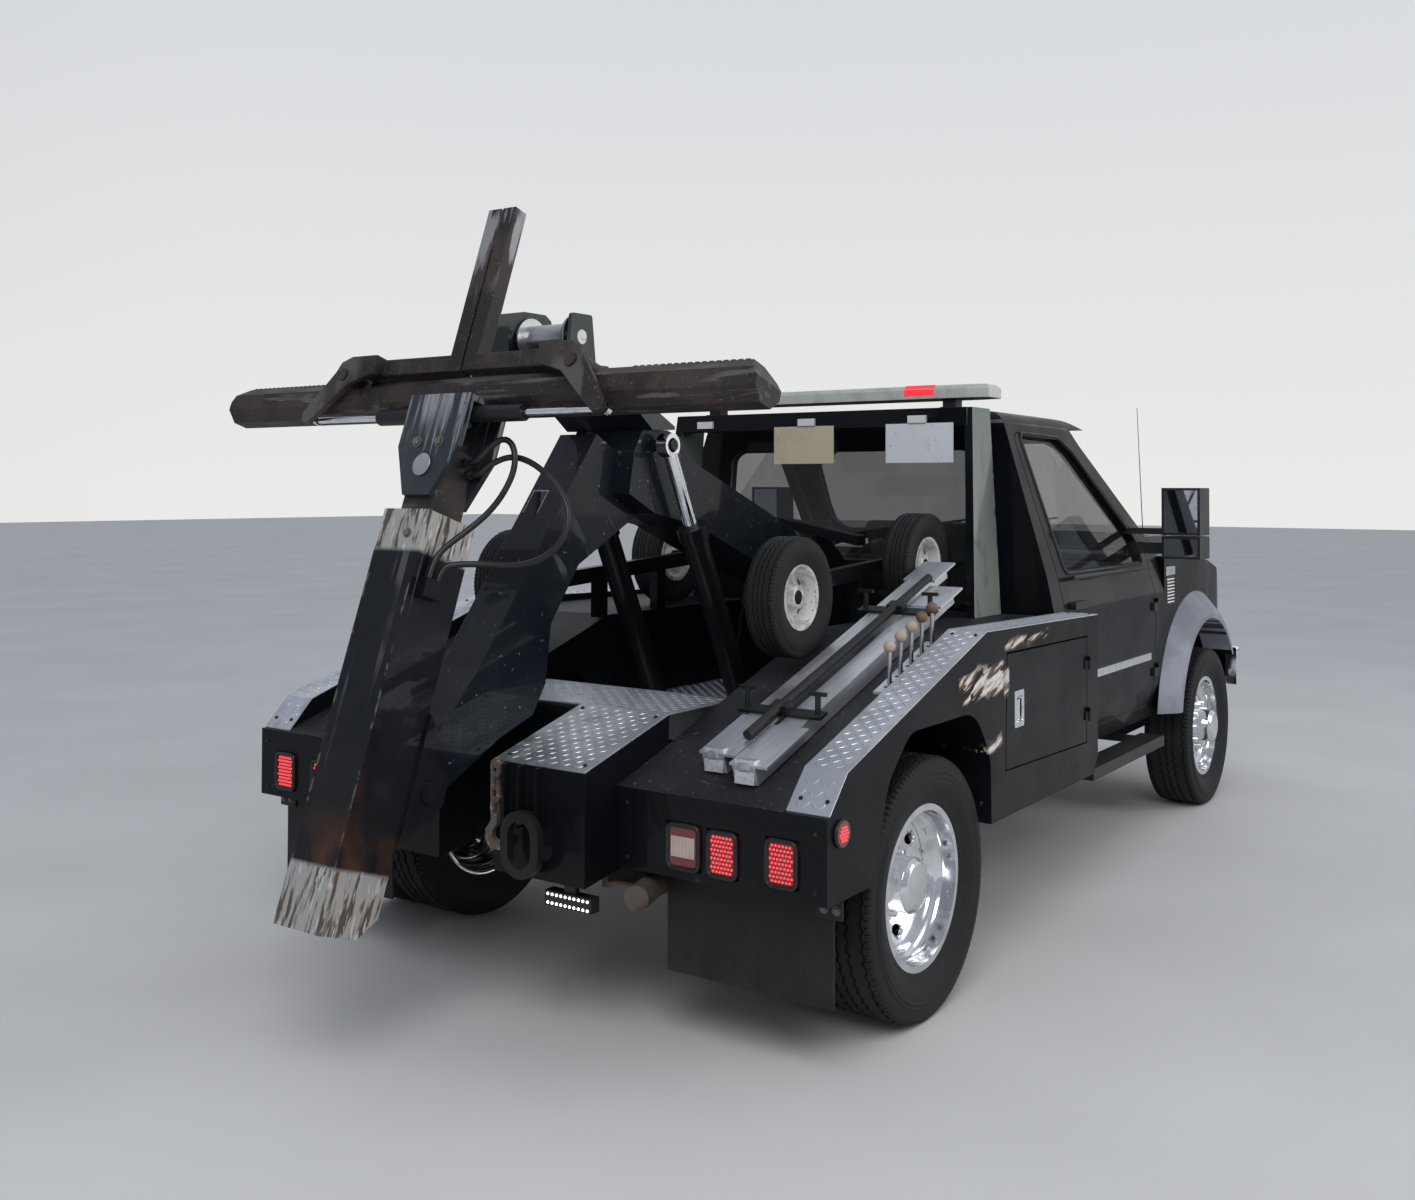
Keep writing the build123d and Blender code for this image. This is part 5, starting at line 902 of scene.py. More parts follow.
def dress_nodes():
    """The CAD nodes that stay in the picture, each with its finishes."""
    paint = gloss_black().done()
    sides = side_paint()
    coating = liner()
    metal = plate_metal()
    trunk = plain_steel("frame_paint")
    bright = polished("bright_steel", (0.55, 0.55, 0.55), 0.28)
    shiny = chrome()
    dark = plain_steel("dark_steel", (0.013, 0.013, 0.014), 0.42, 0.3, 0.3)
    black = moulded("black_plastic", (0.010, 0.0105, 0.0115), 0.45, (0.026, 0.027, 0.029), 0.4)
    grey = moulded("grey_flare", (0.215, 0.230, 0.275), 0.50, (0.39, 0.40, 0.46), 0.75)
    cabin = moulded("cabin_lining", (0.14, 0.14, 0.145), 0.8, (0.2, 0.2, 0.2), 0.4)
    boom = boom_paint()
    red = lens("red_lens", (0.13, 0.003, 0.005), 0.15)
    clear = lens("clear_lens", (0.72, 0.72, 0.70), 0.0)
    pale_bar = lens("pale_bar_lens", (0.52, 0.54, 0.50), 0.0, 26.0)
    lens("red_bar_lens", (0.75, 0.02, 0.03), 0.9, 26.0)
    mirror = Finish("mirror_glass", (0.72, 0.76, 0.80), 0.02, 1.0)
    mirror.coat(mirror.calc(mirror.band(mirror.noise(20.0, 5.0), 0.55, 0.70), 0.25), (0.4, 0.4, 0.4), 0.25)
    beige_knob = moulded("beige_knob", (0.50, 0.42, 0.31), 0.45, (0.36, 0.30, 0.22), 0.5)
    brown_knob = moulded("brown_knob", (0.16, 0.10, 0.07), 0.45, (0.10, 0.07, 0.05), 0.5)
    claw = claw_steel()

    for name in ("chassis_frame", "front_axle", "rear_axle", "engine_block"):
        dress(name, trunk)
    for name in ("knuckle_left", "knuckle_right"):
        dress(name, trunk, round_by=2.0)
    dress("exhaust", plain_steel("exhaust_pipe", (0.16, 0.13, 0.11), 0.6, 0.5, 0.9))
    dress("cab_shell", paint,
          (cabin, lambda x, y, z, n: (abs(y) + np.maximum(z - 1300, 0) * 0.312 < 935)
           & (z < 1955) & (z > 590) & (x > 1560)
           & (x < 3030) & (x + (z - 1420) * 1.4 < 3330)
           & ~((n[:, 2] > 0.5) & (z > 1380))),
          round_by=3.0)
    for side, name in SIDES:
        dress("cab_door_" + name, paint,
              (cabin, lambda x, y, z, n: (n[:, 1] * side < -0.5) & (abs(y) < 975)),
              (shiny, lambda x, y, z, n: (abs(y) > 1000.5) & (z < 868) & (z > 830) & (x < 2801)),
              (black, lambda x, y, z, n: ((abs(y) > 1000.5) & ((z > 1100) | (x > 2830)))
               | ((x > MIRROR_X - 45) & (x < MIRROR_X + 130) & (abs(y) > 930) & (z > 1280))),
              (mirror.done() if side > 0 else bpy.data.materials["mirror_glass"],
               lambda x, y, z, n: (abs(y) > 1096) & (abs(x - (MIRROR_X - 36)) < 1)),
              round_by=2.5)
        dress("toolbox_door_" + name, sides,
              (shiny, lambda x, y, z, n: (abs(x - 640) < 44) & (abs(z - 892) < 66)
               & (abs(y) > 1189)),
              (dark, lambda x, y, z, n: (abs(y) > 1205.5) & (x > 1300)),
              round_by=2.0)
        dress("lift_barrel_" + name, paint, round_by=2.0)
        dress("lift_rod_" + name, shiny)
        dress("claw_" + name, claw, round_by=3.0)
        dress("claw_rod_" + name, shiny)
    dress("cab_glass", window_glass())
    dress("hood", paint, round_by=4.0)
    dress("front_fenders", paint, (grey, lambda x, y, z, n: abs(y) > 1000.2), round_by=3.0)
    dress("front_bumper", shiny, round_by=6.0)
    dress("grille", shiny, (clear, lambda x, y, z, n: (abs(y) > 564) & (z > 815)), round_by=3.0)
    dress("dashboard", cabin, round_by=3.0)
    dress("running_boards", black, round_by=8.0)
    dress("tow_body", sides, (coating, lambda x, y, z, n: (n[:, 2] > 0.3) & (abs(y) < 1206)), round_by=3.0)
    dress("tread_plates", metal, round_by=0.8)
    dress("tail_frame", paint, round_by=1.5)
    dress("tow_chain", rusty_chain(), (dark, lambda x, y, z, n: y < -190), round_by=3.2)
    dress("dolly_clamps", dark, round_by=1.5)
    dress("tail_lamps", red,
          (clear, lambda x, y, z, n: (abs(abs(y) - 728) < 54) & (abs(z - 620) < 34)),
          (black, lambda x, y, z, n: (x < -785)),
          round_by=1.5)
    dress("mud_flaps", flap_rubber(), round_by=1.5)
    dress("headache_rack", paint,
          # The legs' broad side faces get the painted sky reflection.
          (rack_side_painted_reflection(), lambda x, y, z, n: (abs(n[:, 1]) > 0.9) & (abs(y) > 722) & (z < 1990) & (z > 1160)),
          (clear, lambda x, y, z, n: (x < 1262) & (z > 1930) & (z < 1975)), round_by=3.0)
    dress("blank_plates", blank_plate("beige_plate", (0.56, 0.50, 0.36)),
          (blank_plate("white_plate", (0.70, 0.72, 0.76)), lambda x, y, z, n: y < -200))
    dress("light_bar", pale_bar,
          (black, lambda x, y, z, n: z < 2041), round_by=4.0)
    dress("boom_tower", paint, round_by=3.0)
    dress("dolly_carriers", paint, round_by=3.0)
    dress("dolly_axles", tube_metal(), round_by=2.0)
    dress("control_levers", bright,
          (metal, lambda x, y, z, n: over_slope(x, z) < 9),
          (beige_knob, lambda x, y, z, n: (over_slope(x, z) > 115) & (x < 235)),
          (brown_knob, lambda x, y, z, n: (over_slope(x, z) > 115) & (x >= 235)))
    dress("boom_arm", boom, round_by=5.0)
    dress("boom_winch", winch_green(), (boom, lambda x, y, z, n: z < 2068), round_by=3.0)
    dress("winch_drum", bright, round_by=1.0)
    dress("stinger_tube", lift_tube_paint(), round_by=4.0)
    dress("stinger_inner", worn_steel("inner_tube_steel").done(),
          (bright, lambda x, y, z, n: (abs(y) < 36.5) & (abs(tube_s(x, z) - HEAD_PIN_S) < 36.5)
           & (n[:, 0] < -0.9)),
          round_by=3.0)
    dress("crossbar", crossbar_steel(),
          (head_paint(), lambda x, y, z, n: (abs(y) < 129) & (tube_s(x, z) < 1576)),
          (bright, lambda x, y, z, n: (abs(y) < 37) & (abs(tube_s(x, z) - HEAD_PIN_S) < 37)), round_by=2.0)
    dress("claw_barrels", dark, round_by=1.5)


def light_it():
    """A pale sky, brightest in front of the camera and low down, and two soft lamps behind the camera."""
    world = bpy.data.worlds.new("studio")
    bpy.context.scene.world = world
    world.use_nodes = True
    tree = world.node_tree
    sky = tree.nodes["Background"]
    look = tree.nodes.new("ShaderNodeTexCoord")
    split = tree.nodes.new("ShaderNodeSeparateXYZ")
    tree.links.new(look.outputs["Generated"], split.inputs[0])
    ahead = tree.nodes.new("ShaderNodeMapRange")
    ahead.interpolation_type = "SMOOTHSTEP"
    for number, value in ((1, -0.5), (2, 0.6), (3, 0.0), (4, 1.0)):
        ahead.inputs[number].default_value = value
    tree.links.new(split.outputs[0], ahead.inputs[0])
    colours = []
    for low, middle, high in (((0.40, 0.42, 0.46), (0.36, 0.39, 0.45), (0.42, 0.46, 0.54)),
                              ((0.92, 0.92, 0.90), (0.78, 0.80, 0.83), (0.42, 0.46, 0.54))):
        ramp = tree.nodes.new("ShaderNodeValToRGB")
        stops = ramp.color_ramp.elements
        stops[0].position, stops[0].color = 0.0, (*low, 1)
        stops[1].position, stops[1].color = 1.0, (*high, 1)
        stops.new(0.30).color = (*middle, 1)
        tree.links.new(split.outputs[2], ramp.inputs[0])
        colours.append(ramp.outputs[0])
    mix = tree.nodes.new("ShaderNodeMix")
    mix.data_type = "RGBA"
    tree.links.new(ahead.outputs[0], mix.inputs[0])
    tree.links.new(colours[0], mix.inputs[6])
    tree.links.new(colours[1], mix.inputs[7])
    tree.links.new(mix.outputs[2], sky.inputs[0])
    sky.inputs[1].default_value = 0.9
    for name, spot, size, watts in (("key", (-7.5, -4.0, 7.0), 5.0, 330),
                                    ("fill", (3.0, -9.0, 5.0), 5.0, 170)):
        data = bpy.data.lights.new(name, "AREA")
        data.size = size
        data.energy = watts
        lamp = bpy.data.objects.new(name, data)
        bpy.context.scene.collection.objects.link(lamp)
        lamp.location = spot
        lamp.rotation_euler = (Vector((0, 0, 0.8)) - Vector(spot)).to_track_quat("-Z", "Y").to_euler()


def lay_floor():
    """A wide pale floor."""
    mesh = bpy.data.meshes.new("floor")
    far = 60.0
    mesh.from_pydata([(-far, -far, 0), (far, -far, 0), (far, far, 0), (-far, far, 0)], [], [(0, 1, 2, 3)])
    floor = bpy.data.objects.new("floor", mesh)
    bpy.context.scene.collection.objects.link(floor)
    f = Finish("pale_floor", (0.68, 0.675, 0.66), 0.85, Specular_IOR_Level=0.1)
    f.coat(f.band(f.noise(0.8, 5.0), 0.3, 0.7), (0.73, 0.725, 0.71), 0.85)
    mesh.materials.append(f.done())


# Hoses

# Control points across, out of and up the folded lift tube, in millimetres.
SHORT_HOSE = [(-85, -115, 1392), (-118, -115, 1392), (-150, -119, 1440), (-192, -127, 1478),
              (-236, -136, 1455), (-252, -148, 1385), (-228, -150, 1305), (-190, -140, 1235),
              (-150, -110, 1170), (-122, -70, 1110), (-112, -50, 1060), (-112, -50, 1010)]
LONG_HOSE = [(-85, -140, 1360), (-118, -140, 1360), (-150, -145, 1400), (-215, -160, 1432),
             (-300, -178, 1410), (-395, -195, 1345), (-448, -210, 1270), (-445, -218, 1185),
             (-385, -212, 1125), (-300, -195, 1095), (-220, -165, 1090), (-155, -125, 1078),
             (-112, -88, 1058), (-112, -88, 1010)]


def lay_hoses():
    """The two loose hoses at the head, as one smooth cord each."""
    finish = rubber("hose_rubber", (0.0095, 0.0100, 0.0110), 0.42)
    for name, node, route, length in (("short_hose", "hose_short", SHORT_HOSE, 0.685),
                                      ("long_hose", "hose_long", LONG_HOSE, 0.969)):
        curve = bpy.data.curves.new(name, "CURVE")
        curve.dimensions = "3D"
        curve.resolution_u = 10
        curve.bevel_depth = 9.5 * MM
        curve.bevel_resolution = 4
        line = curve.splines.new("NURBS")
        line.points.add(len(route) - 1)
        for point, where in zip(line.points, route):
            point.co = (*place(*on_tube(*where)), 1)
        line.order_u = 3
        line.use_endpoint_u = True
        curve.materials.append(finish)
        hose = bpy.data.objects.new(name, curve)
        bpy.context.scene.collection.objects.link(hose)
        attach(hose, "stinger_slide")
        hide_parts(node)


# Small items


def skin(*nodes):
    """The surfaces of some CAD nodes, to land small things on."""
    points, faces = [], []
    for name in nodes:
        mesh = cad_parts[name].data
        faces += [tuple(len(points) + i for i in p.vertices) for p in mesh.polygons]
        points += [v.co.copy() for v in mesh.vertices]
    return BVHTree.FromPolygons(points, faces)


def bolt_mesh(radius, height):
    """A hex head on its washer, facing +Z, with a chamfered top."""
    bm = bmesh.new()
    add_lathe(bm, [(0, radius * 1.38), (1.6, radius * 1.38), (1.6, radius * 0.5)], Vector(), (0, 0, 1), 12)
    add_lathe(bm, [(1.5, radius), (height - 1.2, radius), (height, radius * 0.84), (height, 0)], Vector(),
              (0, 0, 1), 6)
    return from_bmesh("bolt", bm)


def dome_mesh(radius, height):
    """A diode's dome, facing +Z."""
    bm = bmesh.new()
    add_lathe(bm, [(0, radius), (height * 0.55, radius * 0.85), (height * 0.9, radius * 0.45), (height, 0)],
              Vector(), (0, 0, 1), 8)
    return from_bmesh("dome", bm)


def tread_mesh():
    """One raised lens of the tread pattern."""
    bm = bmesh.new()
    ring = [(0.013 * math.cos(t), 0.0036 * math.sin(t)) for t in (2 * math.pi * i / 8 for i in range(8))]
    low = [bm.verts.new((x, y, -0.0002)) for x, y in ring]
    top = [bm.verts.new((x * 0.72, y * 0.5, 0.0015)) for x, y in ring]
    for i in range(8):
        j = (i + 1) % 8
        bm.faces.new((low[i], low[j], top[j], top[i]))
    bm.faces.new(top)
    return from_bmesh("tread_lens", bm)


def tread_marks():
    """A mark for each lens of the tread, wherever the plates are flat and wide enough to carry it."""
    plates = skin("tread_plates")
    down = Vector((0, 0, -1))
    marks = []
    for i, x in enumerate(range(-850, 1456, 26)):
        for j, y in enumerate(range(-1196, 1200, 26)):
            hit, normal = plates.ray_cast(place(x, y, 1400), down)[:2]
            if hit is None or normal.z < 0.6:
                continue
            flat = True
            for u, v in ((13, 0), (-13, 0), (0, 13), (0, -13)):
                near, other = plates.ray_cast(place(x + u, y + v, 1400), down)[:2]
                if near is None or other.dot(normal) < 0.999 or abs((near - hit).dot(normal)) > 0.0006:
                    flat = False
                    break
            if flat:
                along = Vector((1, 0, 0)) - normal * normal.x
                turn = Matrix((along.normalized(), normal.cross(along).normalized(), normal)).transposed()
                spin = math.radians(45 if (i + j) % 2 else -45)
                marks.append((hit, tuple((turn @ Matrix.Rotation(spin, 3, "Z")).to_euler()), 1.0))
    return marks


# Each tail lamp's place across, its width and its height above the ground.
LAMP_ROWS = ((728.0, 110.0, 620.0), (864.0, 96.0, 618.0), (1062.0, 96.0, 624.0))
# The side marker's place along the truck and above the ground.
MARKER = (-627.0, 713.0)


def fit_lamps():
    """Seals, diodes and centres of the tail, marker, work and roof lamps."""
    lit = lens("lit_red", (1.0, 0.045, 0.050), 1.6)
    pale = lens("pale_centre", (0.60, 0.46, 0.40), 0.0, 60.0)
    seal = bpy.data.materials["hose_rubber"]
    white = lens("white_diode", (1.0, 1.0, 0.95), 2.0)
    back = Vector((-1, 0, 0))
    diode = dome_mesh(3.9, 3.2)
    marks = []
    for side, hand in reversed(SIDES):
        for number, (y, width, z) in enumerate(LAMP_ROWS):
            loop = rounded_loop([(-width / 2, -62), (width / 2, -62), (width / 2, 62), (-width / 2, 62)], 20)
            ring = [place(LAMP_FACE_X - 0.5, side * y + u, z + v) for u, v in loop]
            bent_bar(f"lamp_seal_{number}_{hand}", ring, 7.5, "truck", "rubber_black", seal, True, 8)
            if number == 0:
                bm = bmesh.new()
                add_box(bm, (LAMP_FACE_X - 4, side * y - 42, z - 30), (LAMP_FACE_X, side * y + 42, z + 30))
                finished(f"lamp_centre_{hand}", from_bmesh("centre", bm), "truck", "lamp_red", pale,
                         bevel=1.2)
                continue
            for row in range(9):
                for k in range(7 if row % 2 else 6):
                    u = (k - (3 if row % 2 else 2.5)) * 11.6
                    marks.append((place(LAMP_FACE_X - 1, side * y + u, z + (row - 4) * 12.2),
                                  facing_turn(back), 1.0))
        out = Vector((0, side, 0))
        for row in range(-3, 4):
            for k in range(-3, 4):
                u, v = k * 10.5 + (row % 2) * 5.2, row * 9.0
                if math.hypot(u, v) < 27:
                    marks.append((place(MARKER[0] + u, side * 1217, MARKER[1] + v), facing_turn(out), 0.9))
        ring = [place(MARKER[0] + 35 * math.cos(t), side * 1209, MARKER[1] + 35 * math.sin(t))
                for t in (2 * math.pi * i / 28 for i in range(28))]
        bent_bar(f"marker_seal_{hand}", ring, 5.0, "truck", "rubber_black", seal, True, 8)
    repeated("red_diodes", diode, marks, "truck", "lamp_red", lit)
    marks = [(place(-830, -398 + (k - 4.5) * 17, 435 + row * 13), facing_turn(back), 1.25)
             for row in (-1, 1) for k in range(10)]
    repeated("work_diodes", diode, marks, "truck", "plate_white", white)
    bm = bmesh.new()
    add_box(bm, (1328.5, -552, 2054), (1342, -410, 2083))
    add_box(bm, (1334, -552, 2078), (1352, -410, 2096), Matrix.Rotation(math.radians(-45), 3, "Y"),
            place(1341, 0, 2089))
    finished("light_bar_red_lens", from_bmesh("red_lens", bm), "truck", "lamp_red",
             bpy.data.materials["red_bar_lens"], bevel=3.0)


def fit_bolts():
    """Hex bolts where the truck shows them, landed on the surface below each."""
    steel = plain_steel("bolt_steel", (0.22, 0.21, 0.20), 0.45, 0.7, 0.5)
    dark = bpy.data.materials["dark_steel"]
    bolt = bolt_mesh(9.0, 8.0)
    spots = {"truck": [], "head": [], "stinger": []}

    def add(body, node, start, line, size):
        """Marks a bolt where a line from the start meets the node."""
        hit, normal = skin(node).ray_cast(start, line)[:2]
        if hit is not None:
            if normal.dot(line) > 0:
                normal = -normal
            spots[body].append((hit, facing_turn(normal, 0.3 + len(spots[body])), size))

    inward = -OUT_TUBE
    for y in (-47, 47):
        add("head", "crossbar", place(*on_tube(y, 330, 1425)), inward, 1.5)
    add("stinger", "stinger_tube", place(*on_tube(-30, 330, 1132)), inward, 1.2)
    for side in (-1, 1):
        for y, z in ((520, 720), (1170, 720), (520, 560), (1170, 560)):
            add("truck", "tow_body", place(-1200, side * y, z), Vector((1, 0, 0)), 0.6)
        for x, y in ((-655, 1095), (-655, 1180), (1430, 1095), (1430, 1180), (330, 1095), (330, 1180)):
            add("truck", "tread_plates", place(x, side * y, 1500), Vector((0, 0, -1)), 0.55)
        for x, y in ((-815, 150), (-815, 450), (-470, 150), (-470, 450)):
            add("truck", "tread_plates", place(x, side * y, 1500), Vector((0, 0, -1)), 0.6)
        for z in (1200, 1300):
            add("truck", "headache_rack", place(1000, side * 768, z), Vector((1, 0, 0)), 0.8)
    for body, slot, finish in (("truck", "steel_dark", dark), ("head", "steel_bright", steel),
                               ("stinger", "steel_bright", steel)):
        repeated("bolts_" + body, bolt, spots[body], body, slot, finish)
    bm = bmesh.new()
    for side in (-1, 1):
        add_box(bm, (-613, side * 1204, 468), (-607, side * 1120, 522))
    finished("flap_brackets", from_bmesh("brackets", bm), "truck", "steel_dark", dark, bevel=1.5)
    marks = [(place(-613, side * y, 495), facing_turn((-1, 0, 0), 0.4), 1.1)
             for side in (-1, 1) for y in (1185, 1145)]
    repeated("flap_bolts", bolt, marks, "truck", "steel_bright", steel)


def fit_label():
    """The blank label on the boom's rear face: a pale border round a dark panel."""
    pale = bpy.data.materials["white_plate"]
    grey = blank_plate("label_grey", (0.055, 0.062, 0.070))
    boom = skin("boom_arm")
    normal = Vector((-0.8, 0.0, 0.6))
    for name, grow, lift, finish in (("label_border", 2, 0.8, pale), ("label_panel", -4, 1.4, grey)):
        bm = bmesh.new()
        verts = []
        for y, along in ((70 + grow, -grow), (4 - grow, -grow), (4 - grow, 126 + grow),
                         (70 + grow, 126 + grow)):
            spot = place(-470 - 0.6 * along, y, 1650 - 0.8 * along)
            hit = boom.ray_cast(spot + normal * 0.3, -normal)[0] or spot
            verts.append(bm.verts.new(hit + normal * lift * MM))
        bm.faces.new(verts)
        bmesh.ops.solidify(bm, geom=bm.faces[:], thickness=0.0006)
        finished(name, from_bmesh(name, bm), "boom", "plate_white", finish)


# Outlines of the door's glass and its seal, along the truck and above the ground.
DOOR_GLASS = [(1744, 1304), (1692, 1902), (2142, 1895), (2276, 1831), (2773, 1418), (2794, 1304)]
DOOR_SEAL = [(1739, 1299), (1687, 1907), (2144, 1900), (2280, 1836), (2779, 1421), (2801, 1299)]


def fit_cab():
    """Side glass, its seals, belt mouldings, the fender vents with their blank badges, and the antenna."""
    glass = bpy.data.materials["window_glass"]
    seal = bpy.data.materials["hose_rubber"]
    bright = bpy.data.materials["chrome_plate"]
    black = bpy.data.materials["black_plastic"]
    for side, name in SIDES:
        body = "door_" + name
        loop = rounded_loop(DOOR_GLASS, 34, 4)
        bm = bmesh.new()
        outer = [bm.verts.new(place(u, side * (948 - (v - 1300) * 0.312), v)) for u, v in loop]
        bm.faces.new(outer)
        bmesh.ops.solidify(bm, geom=bm.faces[:], thickness=0.005)
        finished("door_glass_" + name, from_bmesh("glass", bm), body, "glass_tint", glass)
        door = skin("cab_door_" + name)
        ring = []
        for u, v in rounded_loop(DOOR_SEAL, 40, 4):
            hit = door.ray_cast(place(u, side * 1400, v), Vector((0, -side, 0)))[0]
            y = side * (968 - (v - 1300) * 0.312)
            if hit is not None and abs(hit.y / MM - y) < 45:
                y = hit.y / MM
            ring.append(place(u, y, v))
        bent_bar("window_seal_" + name, ring, 7.0, body, "rubber_black", seal, True, 8)
        points = [place(x, side * 1000, 1284) for x in (1742, 2100, 2500, 2800)]
        bent_bar("belt_moulding_" + name, points, 9.0, body, "rubber_black", black, False, 8)
        bm = bmesh.new()
        for k in range(8):
            z = 1086 + k * 16.5
            turn = Matrix.Rotation(math.radians(side * 22), 3, "X")
            low, high = (3094 - k * 1.5, side * 1000 - 4, z), (3206, side * 1000 + 4, z + 8)
            centre = (place(*low) + place(*high)) / 2
            add_box(bm, low, high, turn, centre)
        finished("fender_vent_" + name, from_bmesh("vent", bm), "truck", "chrome", bright, bevel=1.5)
        bm = bmesh.new()
        add_box(bm, (3086, side * 999 - 2, 1078), (3214, side * 999 + 2, 1222))
        finished("vent_back_" + name, from_bmesh("back", bm), "truck", "plastic_black", black, bevel=1.0)
        bm = bmesh.new()
        add_box(bm, (3076, side * 1000 - 3, 1226), (3222, side * 1000 + 3, 1270))
        finished("blank_badge_" + name, from_bmesh("badge", bm), "truck", "chrome", bright, bevel=2.4)
    bm = bmesh.new()
    foot, tip = place(3360, -800, 1300), place(3250, -800, 2090)
    add_rod(bm, foot, foot + (tip - foot) * 0.05, 16, 12, 9)
    add_rod(bm, foot + (tip - foot) * 0.045, foot + (tip - foot) * 0.12, 6, 10, 3.4)
    add_rod(bm, foot + (tip - foot) * 0.11, tip, 2.6, 8, 1.5)
    finished("antenna", from_bmesh("antenna", bm), "truck", "plastic_black", black)


def fit_front():
    """Headlights with bezels, domes and turn lamps, the panel behind the grille, and the wipers."""
    clear = bpy.data.materials["clear_lens"]
    bright = bpy.data.materials["chrome_plate"]
    black = bpy.data.materials["black_plastic"]
    amber = lens("amber_lens", (0.80, 0.26, 0.02), 0.1, 40.0)
    ahead = Vector((1, 0, 0))
    for side, name in SIDES:
        loop = rounded_loop([(568, 822), (858, 822), (858, 1108), (568, 1108)], 26)
        bent_bar("headlight_bezel_" + name, [place(HEADLIGHT_X + 1, side * u, v) for u, v in loop], 6.5,
                 "truck", "chrome", bright, True, 8)
        bowls, domes = bmesh.new(), bmesh.new()
        for y, r in ((658, 74), (796, 50)):
            centre = place(HEADLIGHT_X, side * y, 1000)
            add_lathe(bowls, [(-0.5, r + 9), (4, r + 8), (5, r + 1), (1.5, r - 2), (1.5, 0)], centre, ahead,
                      40)
            add_lathe(domes, [(1, r), (5, r * 0.86), (8, r * 0.55), (9.5, 0)], centre, ahead, 40)
        finished("headlight_bowls_" + name, from_bmesh("bowls", bowls), "truck", "chrome", bright)
        finished("headlight_domes_" + name, from_bmesh("domes", domes), "truck", "plate_white", clear)
        bm = bmesh.new()
        add_box(bm, (HEADLIGHT_X - 2, side * 842, 834), (HEADLIGHT_X + 4, side * 584, 892))
        finished("turn_lamp_" + name, from_bmesh("turn", bm), "truck", "lamp_red", amber, bevel=2.5)
    bm = bmesh.new()
    add_box(bm, (4384, -536, 792), (4388, 536, 1128))
    for k in range(27):
        y = -520 + 40 * k
        add_box(bm, (4388, y - 3, 796), (4393, y + 3, 1124))
    finished("grille_back", from_bmesh("grille", bm), "truck", "plastic_black", black, bevel=0.8)

    def on_screen(y, t, lift):
        """A point t of the way up the windscreen, lifted off its glass."""
        return place(3338 - 710 * t + 0.58 * lift, y, 1425 + 505 * t + 0.815 * lift)

    for name, foot, elbow, low, high in (("left", (330, -0.01), (190, 0.10), (345, 0.07), (20, 0.15)),
                                         ("right", (-60, -0.01), (-200, 0.10), (-45, 0.07), (-370, 0.15))):
        bent_bar("wiper_arm_" + name, [on_screen(*foot, 10), on_screen(*foot, 22), on_screen(*elbow, 20)],
                 5.0, "truck", "plastic_black", black)
        bent_bar("wiper_blade_" + name, [on_screen(*low, 9), on_screen(*elbow, 14), on_screen(*high, 9)],
                 5.5, "truck", "rubber_black", black)


def fit_levers():
    """The slotted plate under the control levers."""
    dark = bpy.data.materials["dark_steel"]
    bm = bmesh.new()
    lean = Matrix.Rotation(-math.atan(SLOPE_RISE), 3, "Y")
    for k in range(9):
        x = 40 + 39 * k
        z = slope_z(x) + 8.3
        add_box(bm, (x - 5, -1046, z - 0.6), (x + 5, -990, z + 0.6), lean, place(x, -1018, z))
    finished("lever_slots", from_bmesh("slots", bm), "truck", "steel_dark", dark, bevel=0.3)


# Seats

# How far a cushion swells, and how wide and deep its seams are, in metres.
SWELL_LIMIT = 0.020
SEAM_WIDTH = 0.011
SEAM_DEPTH = 0.013


def points_of(mesh):
    """The mesh's points as rows of x, y and z."""
    flat = np.empty(len(mesh.vertices) * 3)
    mesh.vertices.foreach_get("co", flat)
    return flat.reshape(-1, 3)


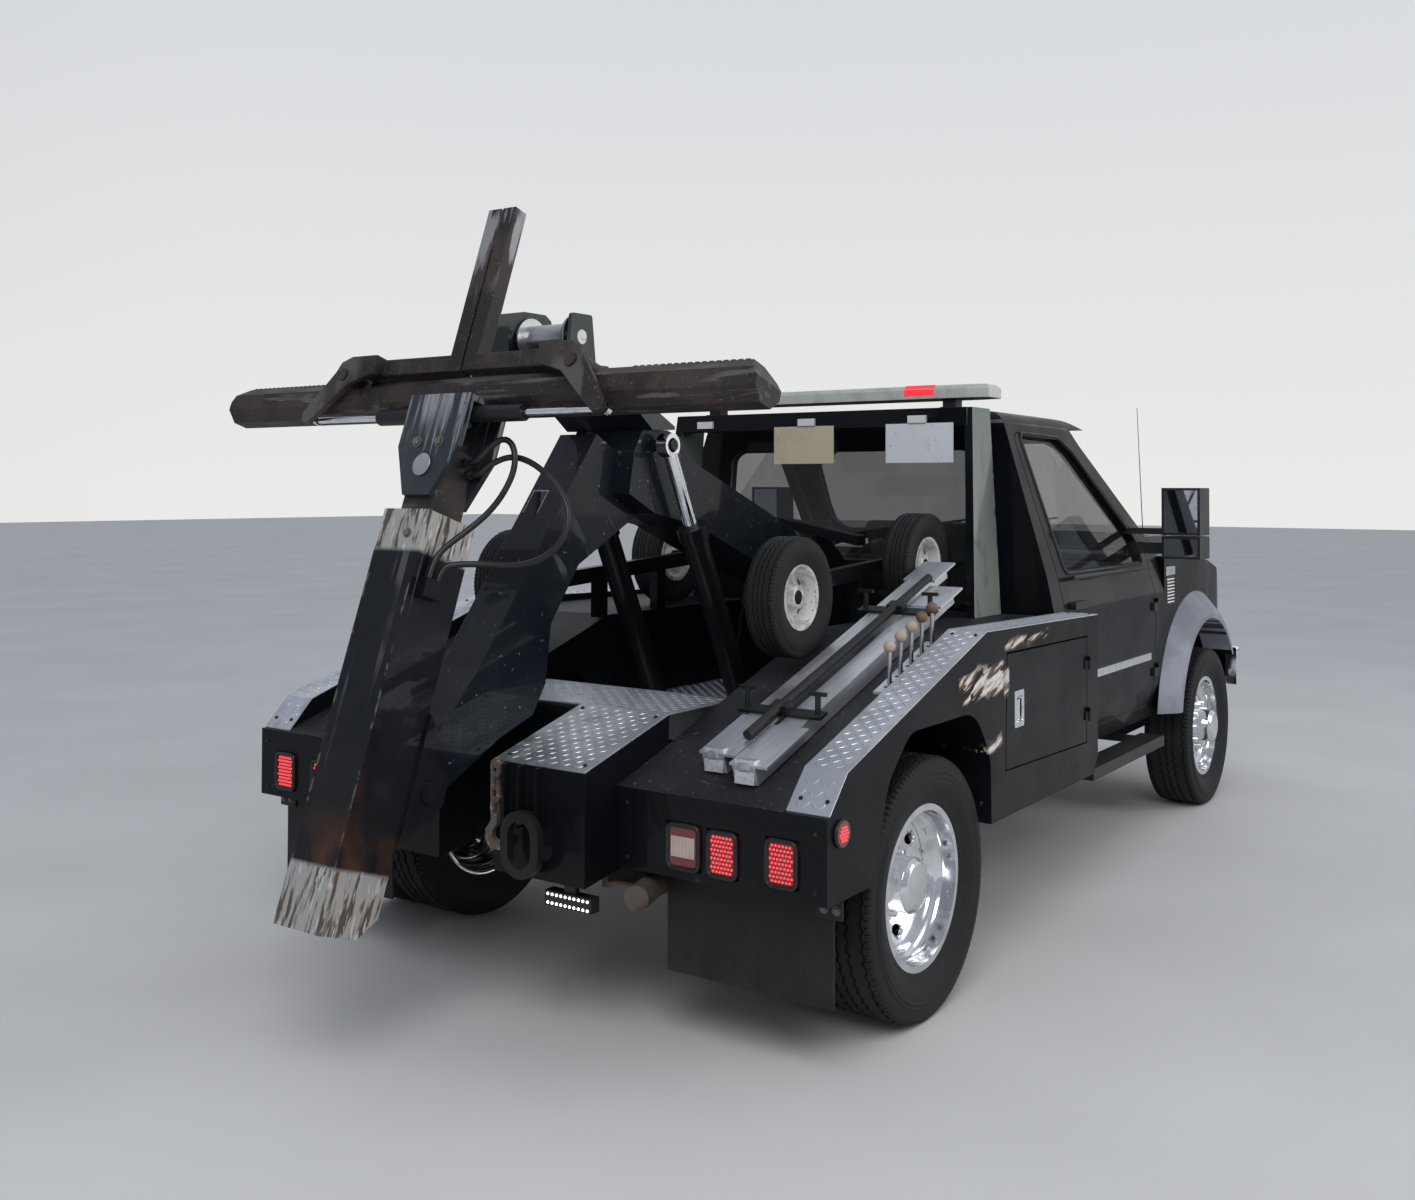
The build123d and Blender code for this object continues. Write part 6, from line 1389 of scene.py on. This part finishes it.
def cushion(name, low, high, lean, seams, finish):
    """One seat cushion: a soft block blown up by cloth pressure, then sewn in along its channels."""
    bm = bmesh.new()
    add_box(bm, low, high)
    bmesh.ops.bevel(bm, geom=bm.edges[:], offset=0.030, segments=2, affect="EDGES", profile=0.6)
    mesh = from_bmesh(name, bm)
    obj = bpy.data.objects.new(name + ".form", mesh)
    bpy.context.scene.collection.objects.link(obj)
    remesh = obj.modifiers.new("remesh", "REMESH")
    remesh.mode = "VOXEL"
    remesh.voxel_size = 0.016
    obj.data = settled(obj)
    obj.modifiers.clear()
    shape = points_of(obj.data)
    cloth = obj.modifiers.new("cloth", "CLOTH")
    cloth.settings.use_pressure = True
    cloth.settings.uniform_pressure_force = 4.0
    cloth.settings.effector_weights.gravity = 0.0
    for step in range(1, 15):
        bpy.context.scene.frame_set(step)
    shift = points_of(settled(obj)) - shape
    size = np.linalg.norm(shift, axis=1, keepdims=True)
    shape = shape + shift * np.minimum(1.0, SWELL_LIMIT / np.maximum(size, 1e-9))
    obj.modifiers.clear()
    bpy.context.scene.frame_set(1)
    middle = (shape.min(0) + shape.max(0)) / 2
    for axis, where, face, sign in seams:
        away = (shape[:, axis] - (where * MM + (AXLE_X if axis == 0 else 0))) / SEAM_WIDTH
        side = np.sign(shape[:, face] - middle[face]) == sign
        shape[:, face] -= sign * side * SEAM_DEPTH * np.exp(-away ** 2)
    obj.data.vertices.foreach_set("co", shape.ravel())
    turn = Matrix.Rotation(lean, 4, "Y")
    pivot = place(low[0], 0, low[2])
    obj.data.transform(Matrix.Translation(pivot) @ turn @ Matrix.Translation(-pivot))
    smooth = obj.modifiers.new("smooth", "SUBSURF")
    smooth.levels = smooth.render_levels = 1
    mesh = settled(obj)
    bpy.data.objects.remove(obj)
    made = finished(name, mesh, "truck", "seat_grey", finish, smooth=80.0)
    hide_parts("seats")


def fit_seats():
    """Three padded seats side by side on one base."""
    cloth = seat_cloth()
    black = bpy.data.materials["black_plastic"]
    for name, y, half in (("right", -560, 236), ("middle", -130, 146), ("left", 400, 236)):
        thirds = [(1, y - half * 0.55, 2, 1), (1, y + half * 0.55, 2, 1), (0, 2080, 2, 1), (0, 2230, 2, 1)]
        cushion("seat_base_" + name, (1912, y - half + 8, 912), (2388, y + half - 8, 1024), 0.0, thirds,
                cloth)
        rows = [(1, y - half * 0.55, 0, 1), (1, y + half * 0.55, 0, 1), (2, 1190, 0, 1), (2, 1360, 0, 1)]
        cushion("seat_back_" + name, (1798, y - half + 10, 1040), (1884, y + half - 10, 1526),
                math.radians(-9.5), rows, cloth)
    bm = bmesh.new()
    add_box(bm, (1856, -694, 612), (2294, 634, 896))
    base = finished("seat_pedestal", from_bmesh("pedestal", bm), "truck", "plastic_black", black, bevel=12.0)
    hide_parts("seats")


def add_details():
    """Everything small that is fixed to the nodes."""
    fit_lamps()
    metal = bpy.data.materials["tread_metal"]
    repeated("tread_pattern", tread_mesh(), tread_marks(), "truck", "tread_plate", metal)
    fit_bolts()
    fit_label()
    fit_cab()
    fit_front()
    fit_levers()
    fit_seats()


aim_camera()
lay_hoses()
light_it()
lay_floor()
dress_nodes()
fit_wheels()
add_details()
bpy.context.scene.view_settings.view_transform = "Standard"
